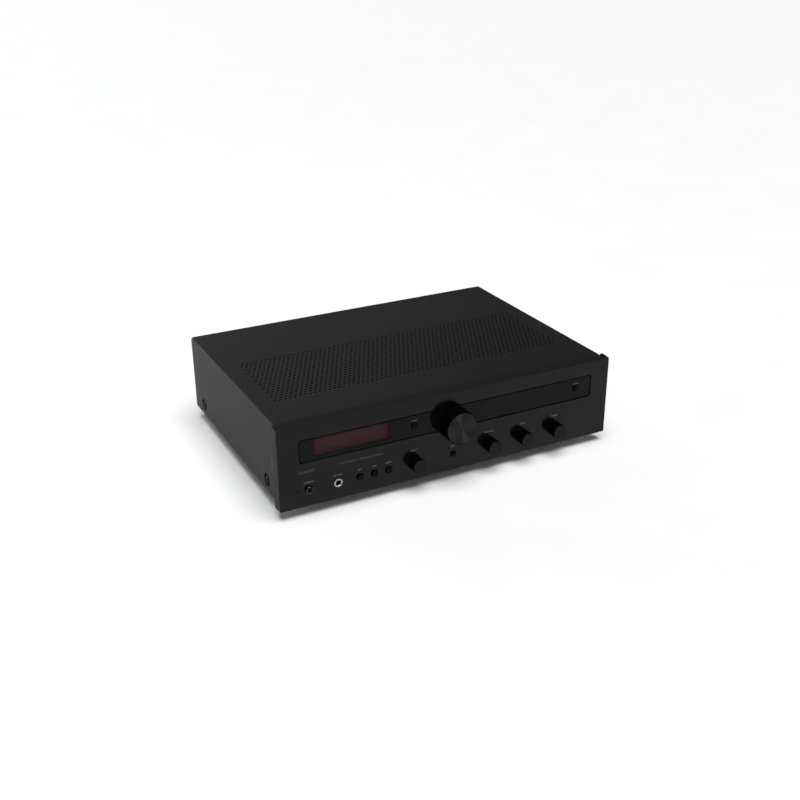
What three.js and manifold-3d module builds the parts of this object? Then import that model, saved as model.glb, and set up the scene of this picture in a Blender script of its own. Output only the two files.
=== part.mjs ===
// A full-width stereo receiver: front plate with a dark window, knobs and push buttons, a bent steel
// cover over a tray chassis, the electronics inside and the sockets at the back.
// Millimetres, +Z up. The front faces -Y, and the origin is on the floor under the middle of the overall box.
// Inside the assembly group, y is the depth behind the front plate's face, and z the height above the floor.
import * as THREE from "three";
import { mergeVertices } from "three/addons/utils/BufferGeometryUtils.js";
import Module from "manifold-3d";

// ---------------------------------------------------------------- driving dimensions

const WIDTH = 434; // across the front plate
const PLATE_HEIGHT = 100.3;
const PLATE_THICK = 5;
const PLATE_ROUND = 1; // rounding of the front plate's edges
const FLOOR_GAP = 12; // floor to the front plate's lower edge
const BODY_DEPTH = 305.2; // front plate's face to the cover's rear edge
const KNOB_REACH = 20.2; // volume knob in front of the plate
const POST_REACH = 16.6; // speaker posts behind the cover
const SHEET = 1.2; // steel sheet of the cover, tray and rear panel
const GAP = 0.3; // between pieces that touch
const TURN = 2 * Math.PI;

const HALF = WIDTH / 2;
const PLATE_TOP = FLOOR_GAP + PLATE_HEIGHT;
const FRONT_Y = KNOB_REACH - (KNOB_REACH + BODY_DEPTH + POST_REACH) / 2;

// The moulded frame behind the front plate, with the side wings that show beside the cover.
const FRAME = { y: PLATE_THICK + GAP, thick: 3, wing: 3, wingDepth: 9.2, top: 109.2, bottom: 13 };
const FRAME_BACK = FRAME.y + FRAME.thick;
const BRIDGE = { half: 26, over: 3, bushHole: 5.6 };

// The window band across the plate, and the flange that holds the pane from behind.
const WINDOW = { half: 191, low: 67, high: 93.4, round: 3, gap: 1, recess: 0.5, bushHole: 5.2 };
const FLANGE = { width: 5.5, thick: 1.5 };
const FLANGE_BACK = FRAME.y + FLANGE.thick;

// The cover: sides, top, a front lip that slopes down to the plate, and a rear flange.
const COVER = { half: HALF - FRAME.wing - GAP, top: 111.9, bottom: 16, bend: 2.2 };
const LIP = { y: 6.5, crease: 17.3, drop: 1.2, sides: FRAME_BACK + GAP };
const REAR_FLANGE = 11;
const VENTS = { count: 32, pitch: 12.08, width: 2.4, from: 70.9, to: 190.7 };
const DISH = { radius: 7.8, floor: 5, depth: 1.6, hole: 2.4 };
const SCREW = { y: [46.2, 270.2], z: 30.5, head: 4, proud: 0.6, shank: 1.9, length: 9 };

// Tray and rear panel.
const TRAY_HALF = COVER.half - DISH.depth - SHEET - GAP;
const TRAY = { bottom: 14, front: 10, frontWall: 24, sideWall: 42, standoff: 4, inset: 8 };
const TRAY_TOP = TRAY.bottom + SHEET;
const PANEL_BACK = BODY_DEPTH - SHEET - GAP;
const PANEL_FRONT = PANEL_BACK - SHEET;
const FOOT = { x: 165, y: [62, 255], top: 22, bottom: 20, height: TRAY.bottom - GAP };

// Controls: knob axes and button axes, and the board behind them.
const BOARD = { y: 22, thick: 1.6, half: 200, low: 17.5, high: 92 };
const PLUNGER = 16.6; // depth of the switch plungers' tips
const SHAFT = { radius: 3, bore: 3.1, knobBore: 3.2, back: 17.4 };
const VOLUME = { x: 0, z: 74, radius: 20, back: 1.2, chamfer: 1.1, bore: 14.5 };
const DIAL = { z: 34.1, radius: 8.8, reach: 14, back: 0.9, chamfer: 0.7, bore: 10.3, hole: 4.5, bush: 3.8 };
const DIALS = [
  { name: "input", x: -50.5, control: "input_encoder" },
  { name: "balance", x: 49.5, control: "balance_potentiometer", pointer: true },
  { name: "bass", x: 95.2, control: "bass_potentiometer", pointer: true },
  { name: "treble", x: 140.9, control: "treble_potentiometer", pointer: true },
];
const POINTER = { at: 6.7, radius: 0.9, depth: 0.6, clockwise: (150 / 360) * TURN };
const IN_PLATE = { z: 32.7, radius: 4, proud: 2.6, travel: 0.8, collar: 5.6 };
const IN_PANE = { z: 80.8, radius: 3.9, proud: 1.6, travel: 0.8, collar: 7.2, inWindow: true };
const BUTTONS = [
  { ...IN_PLATE, name: "power_button", x: -182.1, z: 33, radius: 4.65, proud: 3.2, travel: 2 },
  { ...IN_PLATE, name: "preset_button", x: -120 },
  { ...IN_PLATE, name: "tuning_button", x: -102 },
  { ...IN_PLATE, name: "memory_button", x: -84 },
  { ...IN_PLATE, name: "direct_button", x: 0, radius: 3.25, proud: 2.2 },
  { ...IN_PANE, name: "dimmer_button", x: -51.1 },
  { ...IN_PANE, name: "display_button", x: 169.6 },
];
const BUTTON_COLLAR = 1; // the collar's height and how far it stands out round the cap
const BUTTON_STEM = 2;
const GUIDE = { clear: 1, wall: 1.5, rim: 1.2, stem: 0.5, bar: 8 }; // the moulded cups the stems slide in
const LED = { x: -195.3, z: 33, radius: 1.5, proud: 0.3, back: 21.7 };
const PHONES = { x: -147.1, z: 32.7, ring: 5.35, barrel: 4.6, bore: 3.2, proud: 1.5, body: 7, back: 36 };
const DISPLAY = { x0: -176, x1: -80, low: 71, high: 95, front: 7.4, back: 13.5, rim: 4 };

// Inside.
const MAIN = { x0: -75, x1: 205, y0: 50, y1: 288, low: 23 };
const MAIN_TOP = MAIN.low + BOARD.thick;
const SINK = { x0: -60, x1: 100, y0: 156, y1: 190, base: 6, fin: 1.6, pitch: 8.8, top: 98 };
const TRANSFORMER = { x: -140, y: 95, outer: 50, inner: 15, height: 48, round: 9 };
const CAPACITOR = { x: [-45, -8], y: 78, radius: 15, height: 45 };
const TRANSISTOR = { x: [-30, 70], width: 16, thick: 5, low: 42, high: 64 };

// Back.
const JACKS = { x0: 22, x1: 130, low: 42, high: 86, columns: 6, pitch: 18, rows: [53, 75] };
const JACK = { radius: 4.1, bore: 1.6, reach: 9.5 };
const POSTS = { x: -75, z: 62, pitch: 19, flangeX: 42, flangeZ: 13, bodyX: 38, bodyZ: 8 };
const POST = { stud: 2, collar: 7, washer: 6, cap: 6.2, bore: 2.3, flutes: 12, fluteDepth: 0.6 };
const INLET = { x: -175, z: 42, bodyX: 13.6, bodyZ: 10, mouthX: 12.1, mouthZ: 7.8, front: 285, floor: 289 };
const BLADE = { length: 12.4, places: [[-7, -2], [0, 2], [7, -2]], halfX: 1, halfZ: 2 };
const TUNER = { x0: 150, x1: 200, y0: 270, high: 84, socketX: 175, socketZ: 66, socket: 4.8, reach: 12 };

// ---------------------------------------------------------------- solids from three.js geometry

const wasm = await Module();
wasm.setup();

// A closed geometry as a solid that can be joined and cut. A lathe profile that runs the other way
// comes out inside out, so its faces are turned round here.
function solid(geometry) {
  const bare = new THREE.BufferGeometry().setAttribute("position", geometry.getAttribute("position"));
  bare.setIndex(geometry.index);
  const merged = mergeVertices(bare, 1e-3);
  const corners = merged.index.array;
  const make = (turned) => {
    const triVerts = [];
    for (let i = 0; i < corners.length; i += 3) {
      const [a, b, c] = [corners[i], corners[i + 1], corners[i + 2]];
      if (a !== b && b !== c && c !== a) triVerts.push(a, ...(turned ? [c, b] : [b, c]));
    }
    const vertProperties = merged.attributes.position.array;
    const mesh = new wasm.Mesh({ numProp: 3, vertProperties, triVerts: new Uint32Array(triVerts) });
    return new wasm.Manifold(mesh);
  };
  const made = make(false);
  return made.volume() < 0 ? make(true) : made;
}

function geometryOf(made) {
  const { vertProperties, triVerts } = made.getMesh();
  const geometry = new THREE.BufferGeometry();
  geometry.setAttribute("position", new THREE.BufferAttribute(new Float32Array(vertProperties), 3));
  geometry.setIndex(new THREE.BufferAttribute(new Uint32Array(triVerts), 1));
  geometry.computeVertexNormals();
  return geometry;
}

// The span from a to b on the left (-1) or right (+1) side, low end first.
const span = (side, a, b) => [side * a, side * b].sort((p, q) => p - q);

const joined = (...pieces) => pieces.reduce((all, piece) => all.add(piece));
const cut = (body, ...tools) => tools.reduce((left, tool) => left.subtract(tool), body);

// ---------------------------------------------------------------- outlines, as lists of points

function arc(x, y, radius, from, to, steps) {
  return Array.from({ length: steps + 1 }, (_, i) => {
    const angle = from + ((to - from) * i) / steps;
    return new THREE.Vector2(x + radius * Math.cos(angle), y + radius * Math.sin(angle));
  });
}

function circle(x, y, radius, sides = 16) {
  return arc(x, y, radius, 0, TURN * (1 - 1 / sides), sides - 1);
}

// A rectangle whose corners are rounded by the four radii, from the lower left corner anticlockwise.
function rectangle(x0, x1, y0, y1, radii = [0, 0, 0, 0], steps = 3) {
  const corners = [
    [x0, y0, 1, 1],
    [x1, y0, -1, 1],
    [x1, y1, -1, -1],
    [x0, y1, 1, -1],
  ];
  return corners.flatMap(([x, y, inX, inY], i) => {
    const r = radii[i];
    const start = TURN / 2 + (i * TURN) / 4;
    return r ? arc(x + inX * r, y + inY * r, r, start, start + TURN / 4, steps) : [new THREE.Vector2(x, y)];
  });
}

const points = (...pairs) => pairs.map(([x, y]) => new THREE.Vector2(x, y));

// ---------------------------------------------------------------- solids along and around the axes

function extruded(outline, holes, length) {
  const shape = new THREE.Shape(outline);
  shape.holes = holes.map((hole) => new THREE.Path(hole));
  return new THREE.ExtrudeGeometry(shape, { depth: length, bevelEnabled: false });
}

// An outline in x and z that runs along y.
function plateY(outline, y0, y1, holes = []) {
  return solid(extruded(outline, holes, y1 - y0).rotateX(TURN / 4).translate(0, y1, 0));
}

// An outline in x and y that runs along z.
function plateZ(outline, z0, z1, holes = []) {
  return solid(extruded(outline, holes, z1 - z0).translate(0, 0, z0));
}

// An outline in y and z that runs along x.
function plateX(outline, x0, x1) {
  const axes = [new THREE.Vector3(0, 1, 0), new THREE.Vector3(0, 0, 1), new THREE.Vector3(1, 0, 0)];
  const turn = new THREE.Matrix4().makeBasis(...axes);
  return solid(extruded(outline, [], x1 - x0).applyMatrix4(turn).translate(x0, 0, 0));
}

function box(x0, x1, y0, y1, z0, z1) {
  const geometry = new THREE.BoxGeometry(x1 - x0, y1 - y0, z1 - z0);
  return solid(geometry.translate((x0 + x1) / 2, (y0 + y1) / 2, (z0 + z1) / 2));
}

// A profile of radius and position along y, turned round the y axis.
function turnedGeometry(profile, sides) {
  return new THREE.LatheGeometry(points(...profile), sides);
}

const turnedY = (profile, sides) => solid(turnedGeometry(profile, sides));
const turnedZ = (profile, sides) => solid(turnedGeometry(profile, sides).rotateX(TURN / 4));

// The same profile round an axis that points out of the left (-1) or right (+1) side.
const turnedOut = (side, profile, sides) => solid(turnedGeometry(profile, sides).rotateZ((-side * TURN) / 4));

function rodY(x, z, radius, y0, y1, sides = 16) {
  return plateY(circle(x, z, radius, sides), y0, y1);
}

function rodZ(x, y, radius, z0, z1, sides = 16) {
  return plateZ(circle(x, y, radius, sides), z0, z1);
}

// ---------------------------------------------------------------- finishes

const finish = (color, roughness, metalness) => () =>
  new THREE.MeshStandardMaterial({ color, roughness, metalness, flatShading: true });

const brushedBlack = finish(0x1d1d1f, 0.38, 0.75);
const paintedSteel = finish(0x2c2c2e, 0.55, 0.3);
const moulding = finish(0x18181a, 0.6, 0);
const smokedPane = finish(0x101012, 0.08, 0);
const knobBlack = finish(0x1a1a1c, 0.35, 0.7);
const glossBlack = finish(0x0c0c0e, 0.15, 0);
const zinc = finish(0x9a9c9e, 0.45, 0.9);
const chrome = finish(0xc8cacc, 0.15, 1);
const blackScrew = finish(0x222224, 0.4, 0.8);
const rubber = finish(0x1b1b1b, 0.9, 0);
const board = finish(0x1f4a2c, 0.6, 0);
const aluminium = finish(0x8c8f92, 0.4, 0.9);
const displayGlass = finish(0x3a2224, 0.2, 0);
const ledLens = finish(0x2a0d0d, 0.3, 0);
const tape = finish(0xb58b2e, 0.5, 0);
const sleeve = finish(0x15151a, 0.4, 0);
const epoxy = finish(0x111113, 0.6, 0);
const brass = finish(0xb08d4a, 0.35, 0.9);
const redCap = finish(0x7c1414, 0.4, 0);
const blackCap = finish(0x141414, 0.4, 0);

// ---------------------------------------------------------------- the assembly

const receiver = new THREE.Group();
const assembly = new THREE.Group();
assembly.position.y = FRONT_Y;
receiver.add(assembly);

function add(name, made, material, [x, y, z] = [0, 0, 0]) {
  const mesh = new THREE.Mesh(geometryOf(made), material());
  mesh.name = name;
  mesh.position.set(x, y, z);
  assembly.add(mesh);
  return mesh;
}

// ---------------------------------------------------------------- front plate, window and frame

function frontPlate() {
  const plan = rectangle(-HALF, HALF, 0, PLATE_THICK, [PLATE_ROUND, PLATE_ROUND, 0, 0]);
  const side = rectangle(0, PLATE_THICK, FLOOR_GAP, PLATE_TOP, [PLATE_ROUND, 0, 0, PLATE_ROUND]);
  const blank = plateZ(plan, FLOOR_GAP, PLATE_TOP).intersect(plateX(side, -HALF, HALF));
  const { half, low, high, round, gap } = WINDOW;
  const corner = round + gap / 2;
  const opening = rectangle(-half - gap, half + gap, low - gap, high + gap, Array(4).fill(corner));
  const holes = [
    plateY(opening, -1, PLATE_THICK + 1),
    ...DIALS.map(({ x }) => rodY(x, DIAL.z, DIAL.hole, -1, PLATE_THICK + 1)),
    ...BUTTONS.filter((b) => !b.inWindow).map((b) => rodY(b.x, b.z, b.radius + GAP, -1, PLATE_THICK + 1, 20)),
    rodY(LED.x, LED.z, LED.radius + GAP, -1, PLATE_THICK + 1, 12),
    rodY(PHONES.x, PHONES.z, PHONES.barrel + GAP, -1, PLATE_THICK + 1),
  ];
  add("front_fascia", cut(blank, ...holes), brushedBlack);
}

function displayWindow() {
  const { half, low, high, round, recess, bushHole } = WINDOW;
  const { width } = FLANGE;
  const pane = plateY(rectangle(-half, half, low, high, Array(4).fill(round)), recess, FRAME.y + 0.2);
  const rim = box(-half - width, half + width, FRAME.y, FLANGE_BACK, low - width, high + width);
  const holes = [
    rodY(VOLUME.x, VOLUME.z, bushHole, -1, FLANGE_BACK + 1),
    ...BUTTONS.filter((b) => b.inWindow).map((b) => rodY(b.x, b.z, b.radius + GAP, -1, FLANGE_BACK + 1, 20)),
  ];
  add("display_window", cut(joined(pane, rim), ...holes), smokedPane);
}

function fasciaFrame() {
  const inner = HALF - FRAME.wing;
  const edge = FLANGE.width + 0.5;
  const low = WINDOW.low - edge;
  const high = WINDOW.high + edge;
  const { clear } = GUIDE;
  const holes = [
    rectangle(-WINDOW.half - edge, WINDOW.half + edge, low, high),
    ...DIALS.map(({ x }) => circle(x, DIAL.z, DIAL.bush + clear, 12)),
    circle(LED.x, LED.z, LED.radius + clear, 8),
    circle(PHONES.x, PHONES.z, PHONES.barrel + clear, 12),
  ];
  const plate = plateY(rectangle(-inner, inner, FRAME.bottom, FRAME.top), FRAME.y, FRAME_BACK, holes);
  const wings = [-1, 1].map((side) => {
    const [x0, x1] = span(side, inner - 0.01, HALF);
    return box(x0, x1, FRAME.y, FRAME.y + FRAME.wingDepth, FLOOR_GAP, PLATE_TOP);
  });
  // The bridge behind the window carries the volume control.
  const bridgeFront = FLANGE_BACK + GAP;
  const bridgeBack = bridgeFront + FRAME.thick;
  const { half, over, bushHole } = BRIDGE;
  const bridge = box(-half, half, bridgeFront, bridgeBack, low - over, high + over);
  const bush = rodY(VOLUME.x, VOLUME.z, bushHole, bridgeFront - 1, bridgeBack + 1, 12);
  // Behind each button: a cup that takes its collar, on a bar of its own in the window, and the stem's hole.
  const cups = BUTTONS.map((b) => {
    const inside = b.radius + BUTTON_COLLAR + clear;
    const floor = b.collar + BUTTON_COLLAR + b.travel + GAP;
    const back = floor + GUIDE.wall;
    const body = b.inWindow
      ? box(b.x - GUIDE.bar, b.x + GUIDE.bar, bridgeFront, back, low - over, high + over)
      : rodY(b.x, b.z, inside + GUIDE.rim, FRAME.y + GAP, back, 14);
    const hollow = rodY(b.x, b.z, inside, -1, floor, 14);
    const stemHole = rodY(b.x, b.z, BUTTON_STEM + GUIDE.stem, floor - 1, back + 1, 10);
    return { body, hollow, stemHole };
  });
  const bodies = cups.map((cup) => cup.body);
  const hollows = cups.flatMap((cup) => [cup.hollow, cup.stemHole]);
  add("fascia_frame", cut(joined(plate, ...wings, bridge, ...bodies), bush, ...hollows), moulding);
}

// ---------------------------------------------------------------- cover, tray and rear panel

// Everything above the line that slopes down from the crease to the lip, at this height of sheet.
function aboveLip(top) {
  const run = LIP.crease - LIP.y;
  const before = LIP.y - run;
  return plateX(points([before, top - 2 * LIP.drop], [LIP.crease, top], [before, top + 10]), -HALF, HALF);
}

function topCover() {
  const { half, top, bottom, bend } = COVER;
  const outer = cut(
    plateY(rectangle(-half, half, bottom, top, [0, 0, bend, bend]), LIP.y, BODY_DEPTH),
    aboveLip(top),
  );
  const innerTop = top - SHEET;
  const innerBend = bend - SHEET;
  const profile = rectangle(SHEET - half, half - SHEET, bottom - 1, innerTop, [0, 0, innerBend, innerBend]);
  const inner = cut(plateY(profile, LIP.y - 1, BODY_DEPTH - SHEET), aboveLip(innerTop));
  const belowFlange = box(SHEET - half, half - SHEET, BODY_DEPTH - 5, BODY_DEPTH + 1, 0, top - REAR_FLANGE);
  const corners = [-1, 1].map((side) => {
    const [x0, x1] = span(side, half - 10, half + 1);
    return box(x0, x1, LIP.y - 1, LIP.sides, 0, FRAME.top + 0.2);
  });
  const slots = Array.from({ length: VENTS.count }, (_, i) => {
    const x = (i - (VENTS.count - 1) / 2) * VENTS.pitch;
    return box(x - VENTS.width / 2, x + VENTS.width / 2, VENTS.from, VENTS.to, innerTop - 1, top + 1);
  });
  let cover = cut(outer, inner, belowFlange, ...corners, ...slots);
  const { radius, floor, depth, hole } = DISH;
  const rim = radius + 0.4;
  // Radius, and distance out from the cover's side, of the pressed dish round each screw.
  const dish = [
    [radius, 0],
    [floor, -depth],
    [hole, -depth],
    [hole, -depth - SHEET],
    [floor + 0.4, -depth - SHEET],
    [rim, -SHEET],
    [rim, 0],
    [radius, 0],
  ];
  for (const side of [-1, 1]) {
    for (const y of SCREW.y) {
      const plug = [[0, 1], [radius + 0.2, 1], [radius + 0.2, -SHEET - 1], [0, -SHEET - 1]];
      const place = (made) => made.translate([side * half, y, SCREW.z]);
      cover = joined(cut(cover, place(turnedOut(side, plug, 16))), place(turnedOut(side, dish, 16)));
    }
  }
  add("top_cover", cover, paintedSteel);
}

function coverScrews() {
  const { head, proud, shank, length } = SCREW;
  const seat = GAP - DISH.depth;
  const profile = [
    [0, proud],
    [head - 0.8, proud],
    [head, proud - 0.7],
    [head, seat],
    [shank, seat],
    [shank, -length],
    [0, -length],
  ];
  const [reach, arm] = [2.4, 0.5]; // half the cross recess's length and width
  for (const [end, y] of [["front", SCREW.y[0]], ["rear", SCREW.y[1]]]) {
    for (const [name, side] of [["left", -1], ["right", 1]]) {
      const [x0, x1] = span(side, proud - 1.2, proud + 1);
      const cross = [box(x0, x1, -reach, reach, -arm, arm), box(x0, x1, -arm, arm, -reach, reach)];
      const screw = cut(turnedOut(side, profile, 12), ...cross);
      add(`cover_screw_${name}_${end}`, screw, blackScrew, [side * COVER.half, y, SCREW.z]);
    }
  }
}

function chassisTray() {
  const { front, bottom, frontWall, sideWall, standoff, inset } = TRAY;
  const half = TRAY_HALF;
  const back = PANEL_FRONT - GAP;
  const floor = box(-half, half, front, back, bottom, TRAY_TOP);
  const nose = box(-half, half, front, front + SHEET, bottom, frontWall);
  const walls = [-1, 1].map((side) => {
    const [x0, x1] = span(side, half - SHEET, half);
    const wall = box(x0, x1, front, back, bottom, sideWall);
    const hole = [[0, 1], [DISH.hole, 1], [DISH.hole, -SHEET - 1], [0, -SHEET - 1]];
    return cut(wall, ...SCREW.y.map((y) => turnedOut(side, hole, 12).translate([side * half, y, SCREW.z])));
  });
  const standoffs = [MAIN.x0 + inset, (MAIN.x0 + MAIN.x1) / 2, MAIN.x1 - inset].flatMap((x) =>
    [MAIN.y0 + inset, MAIN.y1 - inset].map((y) => rodZ(x, y, standoff, TRAY_TOP - 0.1, MAIN.low - GAP, 8)),
  );
  add("chassis_tray", joined(floor, nose, ...walls, ...standoffs), zinc);
}

// The hole round a rectangle's outline, with the gap that touching pieces keep.
function holeRound(x0, x1, z0, z1) {
  return rectangle(x0 - GAP, x1 + GAP, z0 - GAP, z1 + GAP);
}

function rearPanel() {
  const half = COVER.half - SHEET - GAP;
  const low = TRAY_TOP + GAP;
  const [posts, inlet] = [POSTS, INLET].map(({ x, z, bodyX, bodyZ }) =>
    holeRound(x - bodyX, x + bodyX, z - bodyZ, z + bodyZ),
  );
  const holes = [
    holeRound(JACKS.x0, JACKS.x1, JACKS.low, JACKS.high),
    posts,
    inlet,
    circle(TUNER.socketX, TUNER.socketZ, TUNER.socket + GAP, 12),
  ];
  const sheet = plateY(rectangle(-half, half, low, COVER.top - SHEET - GAP), PANEL_FRONT, PANEL_BACK, holes);
  const foldedFoot = box(-half + 4, half - 4, PANEL_FRONT - 10, PANEL_BACK, low, low + SHEET);
  add("rear_panel", joined(sheet, foldedFoot), paintedSteel);
}

function feet() {
  const { top, bottom, height } = FOOT;
  const profile = [[0, 0], [bottom - 1, 0], [bottom, 1], [top, height - 3], [top, height], [0, height]];
  for (const [end, y] of [["front", FOOT.y[0]], ["rear", FOOT.y[1]]]) {
    for (const [name, side] of [["left", -1], ["right", 1]]) {
      add(`foot_${end}_${name}`, turnedZ(profile, 18), rubber, [side * FOOT.x, y, 0]);
    }
  }
}

// ---------------------------------------------------------------- knobs, shafts and buttons

// A knob round its shaft: profile from the face back, with a blind bore for the shaft.
function knobProfile(radius, reach, back, chamfer, bore) {
  return [
    [0, -reach],
    [radius - chamfer, -reach],
    [radius, chamfer - reach],
    [radius, -back],
    [SHAFT.knobBore, -back],
    [SHAFT.knobBore, -bore],
    [0, -bore],
  ];
}

function shaft(bore) {
  return rodY(0, 0, SHAFT.radius, GAP - bore, SHAFT.back);
}

function volumeControl() {
  const { x, z, radius, back, chamfer, bore } = VOLUME;
  add("volume_knob", turnedY(knobProfile(radius, KNOB_REACH, back, chamfer, bore), 40), knobBlack, [x, 0, z]);
  add("volume_shaft", shaft(bore), aluminium, [x, 0, z]);
  // The bush through the bridge, the pot, its reduction gears and the motor behind.
  const potFront = FLANGE_BACK + GAP + FRAME.thick + GAP;
  const body = joined(
    rodY(0, 0, 4.5, 1, potFront + 1),
    box(-14, 14, potFront, potFront + 22, -14, 14),
    box(-11, 11, potFront + 21, potFront + 30, -13, 13),
    rodY(0, -2, 9, potFront + 29, potFront + 46),
  );
  add("volume_potentiometer", cut(body, rodY(0, 0, SHAFT.bore, 0, SHAFT.back + GAP)), zinc, [x, 0, z]);
}

function smallControls() {
  const { z, radius, reach, back, chamfer, bore } = DIAL;
  const bodyFront = FRAME_BACK + GAP + GAP;
  for (const { name, x, control, pointer } of DIALS) {
    let knob = turnedY(knobProfile(radius, reach, back, chamfer, bore), 24);
    if (pointer) {
      const angle = TURN / 4 - POINTER.clockwise;
      const [px, pz] = [POINTER.at * Math.cos(angle), POINTER.at * Math.sin(angle)];
      knob = cut(knob, rodY(px, pz, POINTER.radius, -reach - 1, POINTER.depth - reach, 8));
    }
    add(`${name}_knob`, knob, knobBlack, [x, 0, z]);
    add(`${name}_shaft`, shaft(bore), aluminium, [x, 0, z]);
    const bush = rodY(0, 0, DIAL.bush, 1, bodyFront + 1, 12);
    const body = joined(bush, box(-6, 6, bodyFront, BOARD.y - GAP, -6.5, 6.5));
    add(control, cut(body, rodY(0, 0, SHAFT.bore, 0, SHAFT.back + GAP)), zinc, [x, 0, z]);
  }
}

// A cap in its hole, a collar behind the plate that stops it falling out, and a stem to its switch.
function buttons() {
  for (const { name, x, z, radius, proud, travel, collar } of BUTTONS) {
    const profile = [
      [0, -proud],
      [radius - 0.5, -proud],
      [radius, 0.5 - proud],
      [radius, collar],
      [radius + BUTTON_COLLAR, collar],
      [radius + BUTTON_COLLAR, collar + BUTTON_COLLAR],
      [BUTTON_STEM, collar + BUTTON_COLLAR],
      [BUTTON_STEM, PLUNGER - travel - 0.1],
      [0, PLUNGER - travel - 0.1],
    ];
    add(name, turnedY(profile, 14), glossBlack, [x, 0, z]);
  }
}

function lampAndPhones() {
  const lens = [[0, -LED.proud], [LED.radius, 0], [LED.radius, LED.back], [0, LED.back]];
  add("standby_lamp", turnedY(lens, 12), ledLens, [LED.x, 0, LED.z]);
  const { ring, barrel, bore, proud, body, back } = PHONES;
  const jack = joined(
    rodY(0, 0, ring, -proud, -GAP, 20),
    rodY(0, 0, barrel, -proud, FRAME_BACK + 1),
    box(-body, body, FRAME_BACK + GAP, back, -body, body),
  );
  add("phones_jack", cut(jack, rodY(0, 0, bore, -proud - 1, back - 4)), chrome, [PHONES.x, 0, PHONES.z]);
}

// ---------------------------------------------------------------- boards and what they carry

function displayModule() {
  const { x0, x1, low, high, front, back, rim } = DISPLAY;
  const glass = box(x0, x1, front, back, low, high);
  const carrier = box(x0 - rim, x1 + rim, back - 0.1, back + 1.5, low - 6, high + 3);
  add("display_module", joined(glass, carrier), displayGlass);
}

function controlBoard() {
  const { y, thick, half, low, high } = BOARD;
  const outline = rectangle(-half, half, low, high);
  const volumeWindow = rectangle(-18, 18, 56, high - 0.5);
  const { x, z, body } = PHONES;
  const jackWindow = rectangle(x - body - 1, x + body + 1, z - body - 1, z + body + 1);
  const switches = BUTTONS.map((b) =>
    joined(box(b.x - 3, b.x + 3, PLUNGER + 1, y + 0.1, b.z - 3, b.z + 3), rodY(b.x, b.z, 1.7, PLUNGER, y, 8)),
  );
  const sheet = plateY(outline, y, y + thick, [volumeWindow, jackWindow]);
  add("control_board", joined(sheet, ...switches), board);
}

function mainBoard() {
  const { x0, x1, y0, y1, low } = MAIN;
  const notch = rectangle(SINK.x0 - 3, SINK.x1 + 3, SINK.y0 - 1, SINK.y1 + 3);
  const sheet = plateZ(rectangle(x0, x1, y0, y1), low, MAIN_TOP, [notch]);
  const carried = [
    { x: 31, y: 74, wide: 26, deep: 16, high: 18 }, // rectifier
    { x: 72, y: 73, wide: 24, deep: 14, high: 12 }, // speaker relay
    { x: 150, y: 102, wide: 80, deep: 4, high: 14 }, // preamplifier card
    { x: -45, y: 240, wide: 30, deep: 20, high: 16 }, // standby supply
    { x: 76, y: 285.5, wide: 92, deep: 3, high: 10 }, // header to the line jacks
  ];
  const parts = carried.map(({ x, y, wide, deep, high }) =>
    box(x - wide / 2, x + wide / 2, y - deep / 2, y + deep / 2, MAIN_TOP - 0.1, MAIN_TOP + high),
  );
  add("main_board", joined(sheet, ...parts), board);
}

function heatsink() {
  const { x0, x1, y0, y1, base, fin, pitch, top } = SINK;
  const count = Math.floor((x1 - x0 - fin) / pitch) + 1;
  const margin = (x1 - x0 - fin - (count - 1) * pitch) / 2;
  const outline = points([x1, y0 + base], [x1, y0], [x0, y0], [x0, y0 + base]);
  for (let i = 0; i < count; i += 1) {
    const left = x0 + margin + i * pitch;
    outline.push(...points([left, y0 + base], [left, y1], [left + fin, y1], [left + fin, y0 + base]));
  }
  add("heatsink", plateZ(outline.reverse(), TRAY_TOP + GAP, top), aluminium);
}

function outputTransistors() {
  const { width, thick, low, high } = TRANSISTOR;
  const back = SINK.y0 - GAP;
  ["left", "right"].forEach((name, i) => {
    const legs = [-5.4, 0, 5.4].map((x) =>
      box(x - 0.6, x + 0.6, back - 4, back - 3, MAIN_TOP + GAP, low + 1),
    );
    const body = box(-width / 2, width / 2, back - thick, back, low, high);
    add(`output_transistor_${name}`, joined(body, ...legs), epoxy, [TRANSISTOR.x[i], 0, 0]);
  });
}

function powerTransformer() {
  const { x, y, outer, inner, height, round } = TRANSFORMER;
  const low = TRAY_TOP + GAP;
  const corner = (r, z, from) => arc(r, z, round, from, from + TURN / 4, 2).map((p) => [p.x, p.y]);
  const ring = [
    ...corner(outer - round, low + round, -TURN / 4),
    ...corner(outer - round, low + height - round, 0),
    ...corner(inner + round, low + height - round, TURN / 4),
    ...corner(inner + round, low + round, TURN / 2),
  ];
  add("power_transformer", turnedZ([...ring, ring[0]], 24), tape, [x, y, 0]);
  const top = low + height + GAP;
  // A bolt up the middle, a dished plate on the winding, and the nut.
  const bolt = [[0, low], [4, low]];
  const plate = [[4, top], [30, top], [30, top + 2], [7, top + 3]];
  const nut = [[7, top + 6], [0, top + 6]];
  const clamp = [...bolt, ...plate, ...nut];
  add("transformer_clamp", turnedZ(clamp, 16), zinc, [x, y, 0]);
}

function reservoirCapacitors() {
  const { radius, height } = CAPACITOR;
  const low = MAIN_TOP + GAP;
  const top = low + height;
  const rims = [[radius - 1, low], [radius, low + 1], [radius, top - 1], [radius - 1, top]];
  const can = [[0, low], ...rims, [0, top]];
  ["left", "right"].forEach((name, i) => {
    add(`reservoir_capacitor_${name}`, turnedZ(can, 20), sleeve, [CAPACITOR.x[i], CAPACITOR.y, 0]);
  });
}

// ---------------------------------------------------------------- sockets at the back

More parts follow.
